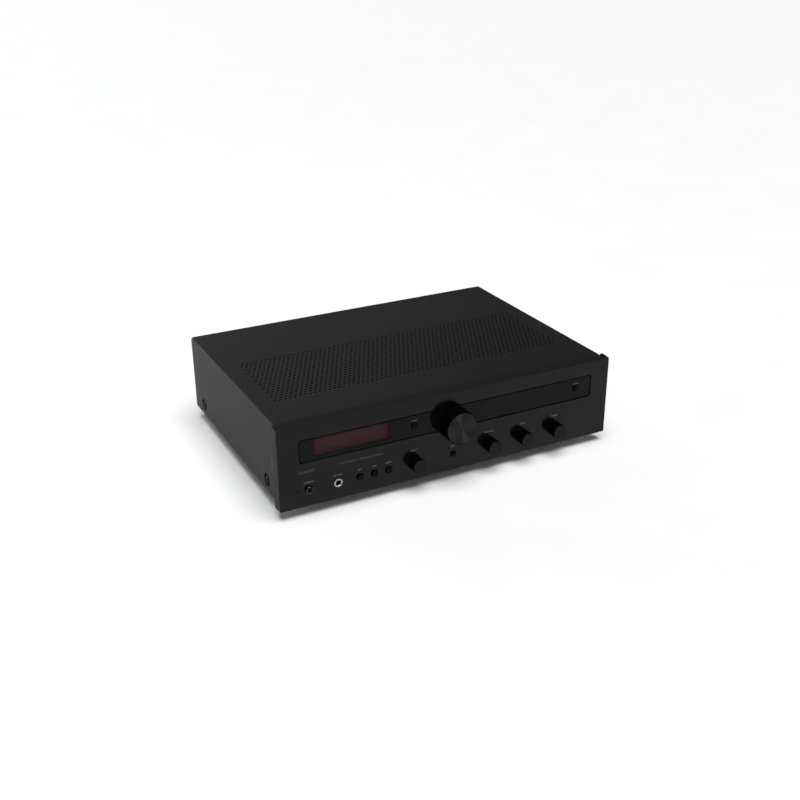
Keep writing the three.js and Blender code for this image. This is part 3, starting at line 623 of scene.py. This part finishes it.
def lamp_and_jack():
    """The standby lamp's lens, and the headphone socket: a bright ring round a dark bore."""
    low, high = limits("standby_lamp")
    at = centre("standby_lamp")
    y = low.y
    dome = [(0, y), (0.8, y + 0.08), (1.3, y + 0.25), (1.5, y + 0.6), (1.5, high.y), (0, high.y)]
    bm = turned(bmesh.new(), dome, (at.x, 0, at.z), sides=32)
    piece("standby_lens", bm, lamp_red, replaces=["standby_lamp"])
    low, high = limits("phones_jack")
    at = centre("phones_jack")
    y = low.y
    ring = [
        (3.2, y + 0.5), (3.5, y + 0.1), (4.0, y), (4.8, y + 0.05), (5.2, y + 0.35), (5.35, y + 0.8),
        (5.35, FRONT - GAP), (4.6, FRONT - GAP), (4.6, FRONT + 9), (6.6, FRONT + 9), (6.6, high.y),
        (0, high.y), (0, high.y - 4), (3.2, high.y - 4), (3.2, y + 0.5),
    ]
    bm = turned(bmesh.new(), ring, (at.x, 0, at.z), slots=[0] * 8 + [1] * 6)
    piece("phones_socket", bm, [bright_edge, deep_black], replaces=["phones_jack"])


# ---------------- the bent cover

BEND = 2.2  # the radius of the bend along the top's edges
LIP_Y = FRONT + 6.5  # the front edge of the top, behind the plate's head
CREASE_Y = FRONT + 17.3  # where the top starts to slope down to it
CREASE_SOFT = 1.5  # how far the crease is spread to each side
LIP_DROP = 1.2
SIDE_FRONT = FRONT + 8.6
LIP_FOOT = 109.4  # how far down the sides reach in front of SIDE_FRONT
HOLE_PITCH_X, HOLE_PITCH_Y, HOLE_RADIUS, HOLE_SIDES = 6.04, 6.12, 1.6, 16
HOLES_ACROSS, HOLE_ROWS = 63, 20
FIRST_ROW = FRONT + 72.4
REAR_FLANGE = 11.0
DISH_SQUARE, DISH_SIDES = 24.0, 32
BEND_STEPS = 6


def lip_drop(y):
    """How far the top sheet has dropped at this depth: nothing behind the crease, then a gentle slope."""
    run = CREASE_Y - y
    if run <= -CREASE_SOFT:
        return 0.0
    if run >= CREASE_SOFT:
        return LIP_DROP * run / (CREASE_Y - LIP_Y)
    return LIP_DROP * (run + CREASE_SOFT) ** 2 / (4 * CREASE_SOFT * (CREASE_Y - LIP_Y))


def lip_stations():
    """The depths at which the slope and its crease are cut, from the front to the back."""
    return [LIP_Y, (LIP_Y + CREASE_Y) / 2] + [CREASE_Y + CREASE_SOFT * k / 4 for k in range(-4, 5)]


def sheet_face(bm, points):
    return bm.faces.new([bm.verts.new(p) for p in points])


def between(start, end, steps):
    """The points from start to end, without the end."""
    return [Vector(start).lerp(Vector(end), i / steps) for i in range(steps)]


def around_cell(i):
    """Point i round a square cell, four to each edge, in half cells from its centre."""
    quarter = HOLE_SIDES // 4

    def along(k):
        k = k % HOLE_SIDES
        return max(-1, min(1, (quarter - min(k, HOLE_SIDES - k)) / 2))

    return along(i), along(i - quarter)


def vent_field(bm, top):
    """Rows of round holes, every other row set half a pitch along, and solid half cells at the rows' ends.
    Returns the field's limits."""
    half_x, half_y = HOLE_PITCH_X / 2, HOLE_PITCH_Y / 2
    left = -HOLES_ACROSS * half_x - half_x / 2
    angles = [TURN * i / HOLE_SIDES for i in range(HOLE_SIDES)]
    circle = [(math.cos(a), math.sin(a)) for a in angles]
    square = [around_cell(i) for i in range(HOLE_SIDES)]
    for row in range(HOLE_ROWS):
        y = FIRST_ROW + row * HOLE_PITCH_Y
        shift = half_x * (row % 2)
        for column in range(HOLES_ACROSS):
            x = left + half_x + shift + column * HOLE_PITCH_X
            ring = [(x + u * HOLE_RADIUS, y + v * HOLE_RADIUS, top) for u, v in circle]
            outer = [(x + u * half_x, y + v * half_y, top) for u, v in square]
            for i in range(HOLE_SIDES):
                j = (i + 1) % HOLE_SIDES
                sheet_face(bm, [ring[i], outer[i], outer[j], ring[j]])
        x0 = left if shift else left + HOLES_ACROSS * HOLE_PITCH_X
        x1, y0, y1 = x0 + half_x, y - half_y, y + half_y
        corners = [(x0, y0, top), (x1, y0, top), (x1, y1, top), (x0, y1, top), (x0, y0, top)]
        half_cell = []
        for start, end, steps in zip(corners, corners[1:], (2, 4, 2, 4)):
            half_cell += between(start, end, steps)
        sheet_face(bm, half_cell)
    right = left + HOLES_ACROSS * HOLE_PITCH_X + half_x
    return left, right, FIRST_ROW - half_y, FIRST_ROW + (HOLE_ROWS - 0.5) * HOLE_PITCH_Y


def across_top(bm, flat, one, two):
    """A strip from side to side between two heights, each given as (y, z)."""
    sheet_face(bm, [(-flat, *one), (flat, *one), (flat, *two), (-flat, *two)])


def top_sheet(bm, top, half):
    """The flat top round the vent field, with the slope down to the front plate."""
    x0, x1, y0, y1 = vent_field(bm, top)
    flat = half - BEND
    across, along = 4 * HOLES_ACROSS + 2, 4 * HOLE_ROWS

    def corner(x, y):
        return Vector((x, y, top))

    def field_edge(start, end, steps):
        return between(start, end, steps) + [end]

    front_points = field_edge(corner(x0, y0), corner(x1, y0), across)
    rear_points = field_edge(corner(x0, y1), corner(x1, y1), across)
    left_points = field_edge(corner(x0, y0), corner(x0, y1), along)
    right_points = field_edge(corner(x1, y0), corner(x1, y1), along)
    crease_back, rear = CREASE_Y + CREASE_SOFT, BACK - BEND
    sheet_face(bm, [corner(-flat, crease_back), corner(flat, crease_back), corner(flat, y0)]
               + front_points[::-1] + [corner(-flat, y0)])
    sheet_face(bm, [corner(-flat, y1)] + rear_points
               + [corner(flat, y1), corner(flat, rear), corner(-flat, rear)])
    sheet_face(bm, [corner(-flat, y0)] + left_points + [corner(-flat, y1)])
    sheet_face(bm, right_points[::-1] + [corner(flat, y0), corner(flat, y1)])
    stations = lip_stations()
    for a, b in zip(stations, stations[1:]):
        across_top(bm, flat, (a, top - lip_drop(a)), (b, top - lip_drop(b)))
    return y0, y1


def side_bends(bm, top, half, y0, y1):
    """The quarter bend along each side of the top, and the one along its rear edge."""
    stations = lip_stations() + [y0, y1, BACK - BEND]
    flat = half - BEND
    turns = [k / BEND_STEPS * TURN / 4 for k in range(BEND_STEPS + 1)]
    bend = [(BEND * math.sin(angle), top - BEND + BEND * math.cos(angle)) for angle in turns]
    for side in (-1, 1):
        for a, b in zip(stations, stations[1:]):
            for one, two in zip(bend, bend[1:]):
                corners = ((a, one), (b, one), (b, two), (a, two))
                sheet_face(bm, [(side * (flat + out), y, z - lip_drop(y)) for y, (out, z) in corners])
    for (out_a, za), (out_b, zb) in zip(bend, bend[1:]):
        across_top(bm, flat, (BACK - BEND + out_a, za), (BACK - BEND + out_b, zb))
    across_top(bm, flat, (BACK, top - BEND), (BACK, top - REAR_FLANGE))


def side_sheet(bm, side, half, top, screws):
    """One side of the cover, cut into columns and rows, with a pressed dish round each screw."""
    x = side * half
    z_low, z_high = COVER_LOW.z, top - BEND
    reach = DISH_SQUARE / 2
    per_edge = DISH_SIDES // 4
    z0, z1 = screws[0].z - reach + 2, screws[0].z + reach + 6
    rows = [z_low, z0, z1, z_high]
    columns = [SIDE_FRONT]
    for screw in screws:
        columns += [screw.y - reach, screw.y + reach]
    columns.append(BACK)

    def corner(y, z):
        return Vector((x, y, z - (lip_drop(y) if z == z_high else 0)))

    def along_the_bend(ya, yb):
        """The points from yb forward to ya on the edge that meets the bend, without the end."""
        return [corner(y, z_high) for y in [yb] + [y for y in lip_stations()[::-1] if ya < y < yb]]

    for i, (ya, yb) in enumerate(zip(columns, columns[1:])):
        for j, (za, zb) in enumerate(zip(rows, rows[1:])):
            # The edges of a dish's cell are cut finely, in the cells beside it too.
            dish_column, dish_row = i % 2 == 1, j == 1
            low_steps = per_edge if dish_column and j > 0 else 1
            high_steps = per_edge if dish_column and j < 2 else 1
            left_steps = per_edge if dish_row and i > 0 else 1
            right_steps = per_edge if dish_row and i < 4 else 1
            outline = between(corner(ya, za), corner(yb, za), low_steps)
            outline += between(corner(yb, za), corner(yb, zb), right_steps)
            if zb == z_high:
                outline += along_the_bend(ya, yb)
            else:
                outline += between(corner(yb, zb), corner(ya, zb), high_steps)
            outline += between(corner(ya, zb), corner(ya, za), left_steps)
            if dish_column and dish_row:
                dish(bm, side, Vector((x, screws[i // 2].y, screws[i // 2].z)), outline)
            else:
                sheet_face(bm, outline)
    sheet_face(bm, [(x, LIP_Y, z_high - lip_drop(LIP_Y)), (x, SIDE_FRONT, z_high - lip_drop(SIDE_FRONT)),
                    (x, SIDE_FRONT, LIP_FOOT), (x, LIP_Y, LIP_FOOT - 0.2)])


# A pressed dish's (radius, depth), from its edge in to the screw hole.
DISH = [(8.6, 0.0), (8.0, 0.04), (7.4, 0.2), (6.9, 0.5), (5.9, 1.2)]
DISH += [(5.4, 1.45), (4.9, 1.58), (4.3, 1.6), (2.3, 1.6)]


def dish(bm, side, at, outline):
    """Rings from a square outline in the sheet down to the screw hole at the bottom of a pressed dish."""
    count = len(outline)
    start = math.atan2(outline[0].z - at.z, outline[0].y - at.y)
    angles = [start + TURN * i / count for i in range(count)]
    previous = outline
    for radius, sunk in DISH:
        x = at.x - side * sunk
        ring = [(x, at.y + radius * math.cos(a), at.z + radius * math.sin(a)) for a in angles]
        for i in range(count):
            j = (i + 1) % count
            face = sheet_face(bm, [previous[i], previous[j], ring[j], ring[i]])
            # Every ring inside the dish's edge takes the painted shade, the darker copy of the cover's paint.
            face.material_index = 1 if radius < DISH[0][0] else 0
        previous = ring


def cover():
    """The bent steel cover: its top with the vent field, its bends and its two sides."""
    half, top = COVER_HIGH.x, COVER_HIGH.z
    bm = bmesh.new()
    y0, y1 = top_sheet(bm, top, half)
    side_bends(bm, top, half, y0, y1)
    for side, name in ((-1, "left"), (1, "right")):
        screws = [centre(f"cover_screw_{name}_{end}") for end in ("front", "rear")]
        side_sheet(bm, side, half, top, screws)
    # The second material is the painted shade in the screw dishes.
    piece("vented_cover", bm, [cover_black, dish_painted_shade], replaces=["top_cover"],
          sharp=28, sheet=SHEET)


# ---------------- screws and feet


def pan_head(bm, at, axis, out, radius, height, slot=0):
    """A screw head whose rounded top looks along an axis, out being +1 or -1, with a cross recess: its arms
    are 0.3 of the radius wide, and reach 0.58 of it out and 0.55 of the head down."""
    rings = 12
    profile = [(radius * k / rings, out * height * (1 - 0.5 * (k / rings) ** 4)) for k in range(rings)]
    profile += [(radius, out * height * 0.3), (radius, 0), (0, 0)]
    before = len(bm.verts)
    turned(bm, profile, (0, 0, 0), axis, 48, slots=[slot] * (len(profile) - 1))
    bm.verts.ensure_lookup_table()
    along = "xyz".index(axis)
    for vertex in bm.verts[before:]:
        across = [c for k, c in enumerate(vertex.co) if k != along]
        on_arm = min(abs(c) for c in across) < 0.15 * radius and math.hypot(*across) < 0.58 * radius
        if on_arm and vertex.co[along] * out > height * 0.5:
            vertex.co[along] -= out * height * 0.55
        vertex.co += Vector(at)
    return bm


def nodes_called(start):
    return [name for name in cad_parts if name.startswith(start)]


def cover_screws():
    """The four screws in the cover's dishes, with their threads."""
    for name in nodes_called("cover_screw"):
        low, high = limits(name)
        at = centre(name)
        out = -1 if at.x < 0 else 1
        face, tip = (low.x, high.x) if out < 0 else (high.x, low.x)
        head = 2.2
        under = face - out * head
        bm = pan_head(bmesh.new(), (under, at.y, at.z), "x", out, (high.z - low.z) / 2, head)
        threads = 14
        threaded = 0.92 * (tip - under)
        profile = [(0, under)]
        profile += [(1.9 - 0.25 * (k % 2), under + threaded * k / threads) for k in range(threads + 1)]
        profile += [(0.6, tip), (0, tip)]
        turned(bm, profile, (0, at.y, at.z), "x", 24)
        piece(name.replace("cover_screw", "screw"), bm, screw_black, replaces=[name])


def feet():
    """A black foot with a rubber ring underneath and its screw in the middle."""
    for name in nodes_called("foot_"):
        low, high, at, wide = round_limits(name)
        z0, z1 = low.z, high.z
        profile = [(0, z0 + 3.4), (5.2, z0 + 3.4), (5.6, z0 + 1.2), (10.6, z0 + 1.2), (11.0, z0 + 0.4)]
        profile += [(11.6, z0), (17.0, z0), (17.7, z0 + 0.4), (18.1, z0 + 1.2), (wide - 2.4, z0 + 1.5)]
        profile += [(wide - 1.7, z0 + 2.4), (wide - 0.5, z1 - 2.2), (wide, z1 - 1.4), (wide, z1), (0, z1)]
        slots = [0, 0, 0, 1, 1, 1, 1, 1] + [0] * (len(profile) - 9)
        bm = turned(bmesh.new(), profile, (at.x, at.y, 0), "z", 64, slots=slots)
        pan_head(bm, (at.x, at.y, z0 + 3.45), "z", -1, 3.6, 1.8, 2)
        materials = [foot_plastic, foot_rubber, zinc_steel]
        piece(name.replace("foot", "round_foot"), bm, materials, replaces=[name])


# ---------------- sockets and posts at the back

PANEL = limits("rear_panel")[1].y  # the rear panel's outer face
JACK_PITCH = 18.0


def line_jacks():
    """Two rows of phono sockets on a black housing: plated sleeves on a white and a red row."""
    low, high = limits("rca_jack_block")
    tip = high.y
    face = tip - 9.5
    bm = block(bmesh.new(), (low.x, low.y, low.z), (high.x, face, high.z), 0.6)
    columns, inset = 6, 11.0
    first = centre("rca_jack_block").x - (columns - 1) * JACK_PITCH / 2
    for z, colour in ((low.z + inset, 3), (high.z - inset, 2)):
        for i in range(columns):
            at = (first + i * JACK_PITCH, 0, z)
            collar = [(4.0, face), (5.7, face), (5.7, face + 0.7), (5.4, face + 1.0), (4.0, face + 1.0)]
            turned(bm, collar, at, sides=32, slots=[colour] * 4)
            sleeve = [(4.1, face - 0.5), (4.1, tip - 0.35), (3.85, tip), (3.45, tip), (3.3, tip - 0.3)]
            turned(bm, sleeve + [(3.3, tip - 1.8)], at, sides=32, slots=[1] * 5)
            core = [(3.3, tip - 1.8), (1.9, tip - 1.8), (1.6, tip - 2.1), (1.6, tip - 7.8), (0, tip - 7.8)]
            turned(bm, core, at, sides=32, slots=[colour, colour, 1, 1])
    materials = [moulding_black, bright_edge, white_plastic, red_plastic]
    piece("line_jacks", bm, materials, replaces=["rca_jack_block"])


def speaker_posts():
    """Four binding posts on one base: plated studs and washers, and fluted caps."""
    posts = [name.removeprefix("post_cap_") for name in nodes_called("post_cap_")]
    low, high = limits("speaker_terminal_base")
    plate_front, plate_back = PANEL + GAP, PANEL + GAP + 2.5
    outline = soft_rectangle(low.x, high.x, low.z, high.z, 2.0)
    bm = plate(bmesh.new(), outline, [], plate_front, plate_back, 0.5)
    block(bm, (low.x + 4, low.y, low.z + 5), (high.x - 4, plate_front + 0.05, high.z - 5), 0.4)
    for name in posts:
        at = centre(f"post_cap_{name}")
        collar_back = plate_back + 2
        collar = [(7.0, plate_back - 0.1), (7.0, collar_back - 0.5), (6.6, collar_back), (2.0, collar_back)]
        turned(bm, collar, (at.x, 0, at.z), sides=40)
        threads = 26
        reach = high.y - collar_back
        stud = [(2.0 - 0.18 * (k % 2), collar_back + reach * k / threads) for k in range(threads)]
        turned(bm, stud + [(1.4, high.y), (0, high.y)], (at.x, 0, at.z), sides=24, slots=[1] * (threads + 1))
    for x in (low.x + 3.6, high.x - 3.6):
        pan_head(bm, (x, plate_back, (low.z + high.z) / 2), "y", 1, 2.6, 1.2, 2)
    piece("post_base", bm, [moulding_black, gilt, screw_black], replaces=["speaker_terminal_base"])
    for name in posts:
        washer_low, washer_high = limits(f"post_washer_{name}")
        at = centre(f"post_cap_{name}")
        y0, y1 = washer_low.y, washer_high.y
        ring = [(2.5, y0), (5.8, y0), (6.0, y0 + 0.2), (6.0, y1 - 0.2), (5.8, y1), (2.5, y1), (2.5, y0)]
        bm = turned(bmesh.new(), ring, (at.x, 0, at.z), sides=40)
        piece(f"washer_{name}", bm, gilt, f"post_washer_{name}", [f"post_washer_{name}"])
        cap_node = f"post_cap_{name}"
        low, high, at, wide = round_limits(cap_node)
        y0, y1 = low.y, high.y
        profile = [(2.3, y0), (wide - 0.7, y0), (wide - 0.2, y0 + 0.5), (wide, y0 + 1.0, True)]
        profile += [(wide, y1 - 1.3, True), (wide - 0.5, y1 - 0.5), (wide - 1.2, y1 - 0.1), (3.7, y1 - 0.1)]
        profile += [(3.5, y1), (2.3, y1), (2.3, y0)]
        slots = [0] * 7 + [1] * 3
        bm = turned(bmesh.new(), profile, (at.x, 0, at.z), sides=144, ripple=ribs(12, 0.55), slots=slots)
        plastic, slot = (red_plastic, "red_cap") if name.endswith("plus") else (sleeve_black, "black_cap")
        piece(f"cap_{name}", bm, [plastic, gilt], cap_node, [cap_node])


def mains_inlet():
    """A three-pin appliance inlet: flange, hollow shell and flat pins."""
    low, high = limits("mains_inlet")
    at = centre("mains_inlet")
    face = PANEL + GAP
    mouth = soft_rectangle(at.x - 12.1, at.x + 12.1, at.z - 7.8, at.z + 7.8, 1.6)
    flange = soft_rectangle(low.x, high.x, low.z, high.z, 2.5)
    shell = soft_rectangle(at.x - 13.6, at.x + 13.6, at.z - 10, at.z + 10, 1.5)
    bm = plate(bmesh.new(), flange, [mouth], face, high.y, 0.4)
    plate(bm, shell, [mouth], low.y + 4, face - 0.02, 0.05)
    plate(bm, shell, [], low.y, low.y + 3.98, 0.2)
    for x, z in ((at.x - 7, at.z - 2), (at.x, at.z + 2), (at.x + 7, at.z - 2)):
        block(bm, (x - 1, low.y + 3.9, z - 2), (x + 1, low.y + 16.4, z + 2), 0.35, 1)
    piece("inlet", bm, [moulding_black, bright_edge], replaces=["mains_inlet"])


def tuner():
    """The tuner's screening can and its threaded aerial socket."""
    low, high = limits("tuner_module")
    back = PANEL - SHEET - GAP
    x, z = (low.x + high.x) / 2, high.z - 18
    bm = block(bmesh.new(), (low.x, low.y, low.z), (high.x, back, high.z - 0.6), 0.4)
    block(bm, (low.x + 0.6, low.y + 0.6, high.z - 1.2), (high.x - 0.6, back - 0.6, high.z), 0.3)
    threads = 24
    end = high.y
    barrel = [(4.8, back - 0.5)]
    barrel += [(4.8 - 0.3 * (k % 2), back + 1.5 + (end - back - 2.2) * k / threads) for k in range(threads)]
    barrel += [(4.4, end), (3.9, end), (3.7, end - 0.4), (1.2, end - 0.4), (1.2, end - 8), (0, end - 8)]
    slots = [0] * (len(barrel) - 4) + [1, 0, 0]
    turned(bm, barrel, (x, 0, z), sides=36, slots=slots)
    materials = [zinc_steel, white_plastic]
    piece("aerial_module", bm, materials, replaces=["tuner_module"])


def rear_trim():
    """Screws that hold the rear panel, and generic words beside the sockets."""
    jacks_low, jacks_high = limits("rca_jack_block")
    posts_low, posts_high = limits("speaker_terminal_base")
    low, high = limits("rear_panel")
    bm = bmesh.new()
    for x in (low.x + 7, low.x + 70, (low.x + high.x) / 2 - 4, high.x - 70, high.x - 7):
        pan_head(bm, (x, PANEL, low.z + 6), "y", 1, 3.0, 1.4)
    for x in (jacks_low.x - 6, jacks_high.x + 6):
        pan_head(bm, (x, PANEL, (jacks_low.z + jacks_high.z) / 2), "y", 1, 2.6, 1.2)
    piece("rear_screws", bm, screw_black)
    inputs = ("AUX", "TAPE OUT", "TAPE IN", "CD", "DVD", "PHONO")
    # words, middle, height above the floor, width, height of a letter
    labels = [
        (words, jacks_low.x + 9 + JACK_PITCH * i, jacks_high.z + 2.5, 3.1 + 1.1 * len(words), 1.8)
        for i, words in enumerate(inputs)
    ]
    labels += [
        ("L", jacks_low.x - 12.5, jacks_high.z - 12, 1.4, 2.2),
        ("R", jacks_low.x - 12.5, jacks_low.z + 10, 1.4, 2.2),
        ("SPEAKERS", centre("speaker_terminal_base").x, posts_high.z + 3, 20, 2.4),
        ("R", posts_low.x + 22, posts_low.z - 5, 1.8, 2.4),
        ("L", posts_high.x - 22, posts_low.z - 5, 1.6, 2.4),
        ("AC IN", centre("mains_inlet").x, limits("mains_inlet")[1].z + 3, 10, 2.4),
        ("AERIAL", centre("tuner_module").x, 78, 12, 2.4),
    ]
    bm = bmesh.new()
    for words, x, z, width, tall in labels:
        lettering(bm, words, x, z, width, PANEL + 0.01, tall, 1)
    piece("rear_lettering", bm, ink, sharp=60)


# ---------------- inside


def capacitors():
    """Sleeved cans with a bare scored top and a groove under the rim."""
    for side in ("left", "right"):
        name = f"reservoir_capacitor_{side}"
        low, high, at, wide = round_limits(name)
        z0, z1 = low.z, high.z
        profile = [(0, z0), (wide - 1, z0), (wide - 0.4, z0 + 0.4), (wide, z0 + 1), (wide, z0 + 3)]
        profile += [(wide - 0.9, z0 + 4), (wide, z0 + 5), (wide, z1 - 1.2), (wide - 0.3, z1 - 0.4)]
        profile += [(wide - 1, z1), (wide - 2.4, z1), (wide - 3, z1 - 0.5), (0, z1 - 0.5)]
        slots = [0] * 10 + [1] * 2
        bm = turned(bmesh.new(), profile, (at.x, at.y, 0), "z", 64, slots=slots)
        materials = [sleeve_black, bare_aluminium]
        piece(f"capacitor_{side}", bm, materials, replaces=[name])


def transformer():
    """A ring-shaped winding under overlapping turns of tape."""
    low, high, at, outer = round_limits("power_transformer")
    hole, rounding, wraps, steps = 15.0, 9.0, 36, 6
    low_z, high_z = low.z + rounding, high.z - rounding
    wide, narrow = outer - rounding, hole + rounding
    profile = []
    for x, z, start in ((wide, low_z, -1), (wide, high_z, 0), (narrow, high_z, 1), (narrow, low_z, 2)):
        for step in range(steps + 1):
            angle = (start + step / steps) * TURN / 4
            profile.append((x + rounding * math.cos(angle), z + rounding * math.sin(angle), True))
    profile.append(profile[0])

    def lap(angle):
        """How far the tape has sunk under the next turn."""
        return 0.45 * ((angle / TURN * wraps) % 1.0)

    bm = turned(bmesh.new(), profile, (at.x, at.y, 0), "z", wraps * 6, ripple=lap)
    piece("toroid", bm, amber_tape, replaces=["power_transformer"])


# ---------------- camera, light and floor


# Angles are in degrees.
CAMERA_LENS, CAMERA_SENSOR, CAMERA_REACH = 49.69, 36, 100
CAMERA_TARGET, CAMERA_DISTANCE = (-0.0374, -0.0883, 0.0843), 1.302
CAMERA_AZIMUTH, CAMERA_ELEVATION, CAMERA_ROLL = -26.97, 24.89, -0.345
FLOOR_SIZE = 12
ROOM_LIGHT = 0.05
GLOWS = [
    # towards, from and to this much facing it, brightness
    ((-0.2, 0.95, -0.2), 0.5, 1.0, 1.9),
    ((0.2, -0.98, 0.0), 0.1, 1.0, 0.45),
]
OVERHEAD_LIGHT, OVERHEAD_SPREAD = 3.4, 48
OVERHEAD_TILT = 12  # towards the front
REAR_LIGHT, REAR_LIGHT_SIZE = 5, 0.7
REAR_LIGHT_PLACE, REAR_LIGHT_AIM = (-0.95, 1.15, 0.20), (-0.2, 0.1, 0.06)


def light_the_room(scene):
    """A dim room with a soft glow on each side that GLOWS names; the camera sees it brighter, as white."""
    world = bpy.data.worlds.new("studio")
    scene.world = world
    world.use_nodes = True
    tree = world.node_tree
    coords = added(tree, "ShaderNodeTexCoord", "Generated")
    total = ROOM_LIGHT
    for towards, start, end, light in GLOWS:
        inputs = {0: coords, 1: towards}
        facing = added(tree, "ShaderNodeVectorMath", "Value", inputs, operation="DOT_PRODUCT")
        near = ranged(tree, facing, 0, 1, start, end)
        glow = calculated(tree, "MULTIPLY", calculated(tree, "POWER", near, 2.0), light)
        total = calculated(tree, "ADD", glow, total)
    seen = added(tree, "ShaderNodeLightPath", "Is Camera Ray")
    strength = calculated(tree, "ADD", total, seen)
    connect(tree, tree.nodes["Background"], {"Color": (1, 1, 1, 1), "Strength": strength})


def studio():
    """The camera at the photo's angle, a pale floor and soft light."""
    scene = bpy.context.scene
    scene.view_settings.view_transform = "Standard"
    camera = placed("camera", bpy.data.cameras.new("camera"))
    scene.camera = camera
    camera.data.lens = CAMERA_LENS
    camera.data.sensor_width = CAMERA_SENSOR
    camera.data.clip_end = CAMERA_REACH
    azimuth, elevation, roll = (math.radians(a) for a in (CAMERA_AZIMUTH, CAMERA_ELEVATION, CAMERA_ROLL))
    aside, ahead = math.sin(azimuth) * math.cos(elevation), -math.cos(azimuth) * math.cos(elevation)
    back = Vector((aside, ahead, math.sin(elevation)))
    camera.location = Vector(CAMERA_TARGET) + back * CAMERA_DISTANCE
    turn = (-back).to_track_quat("-Z", "Y").to_matrix().to_4x4() @ Euler((0, 0, roll)).to_matrix().to_4x4()
    camera.rotation_euler = turn.to_euler()

    bm = bmesh.new()
    bmesh.ops.create_grid(bm, x_segments=1, y_segments=1, size=FLOOR_SIZE)
    mesh = bpy.data.meshes.new("floor")
    bm.to_mesh(mesh)
    bm.free()
    floor = placed("floor", mesh)
    mesh.materials.append(finish("floor_white", (0.88, 0.88, 0.88), 0.6, 8, 0.03, 0.01, 0.0))

    light_the_room(scene)
    above = bpy.data.lights.new("overhead", "SUN")
    above.energy = OVERHEAD_LIGHT
    above.angle = math.radians(OVERHEAD_SPREAD)
    placed("overhead", above).rotation_euler = (math.radians(OVERHEAD_TILT), 0, 0)

    beside = bpy.data.lights.new("left_rear", "AREA")
    beside.size = REAR_LIGHT_SIZE
    beside.energy = REAR_LIGHT
    lamp = placed("left_rear", beside)
    lamp.location = REAR_LIGHT_PLACE
    lamp.rotation_euler = (Vector(REAR_LIGHT_AIM) - lamp.location).to_track_quat("-Z", "Y").to_euler()


# ---------------- the CAD pieces that show as they are

TURNED_SHAFTS = [f"{dial}_shaft" for dial in ("volume", *DIALS)]
POTENTIOMETERS = [f"{dial}_potentiometer" for dial in ("volume", "balance", "bass", "treble")]
CAD_FINISHES = [
    (moulding_black, ["fascia_frame"]),
    (zinc_steel, ["chassis_tray", "transformer_clamp", "input_encoder", *POTENTIOMETERS]),
    (cover_black, ["rear_panel"]),
    (board_green, ["control_board", "main_board"]),
    (bare_aluminium, ["heatsink", *TURNED_SHAFTS]),
    (epoxy, ["output_transistor_left", "output_transistor_right"]),
]


def dress_cad():
    for material, names in CAD_FINISHES:
        for name in names:
            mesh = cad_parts[name].data
            mesh.materials.clear()
            mesh.materials.append(material)


studio()
front_plate()
window_pane()
window_mask()
display()
lettering_on_plate()
volume_knob()
small_knobs()
buttons()
lamp_and_jack()
cover()
cover_screws()
feet()
line_jacks()
speaker_posts()
mains_inlet()
tuner()
rear_trim()
capacitors()
transformer()
dress_cad()
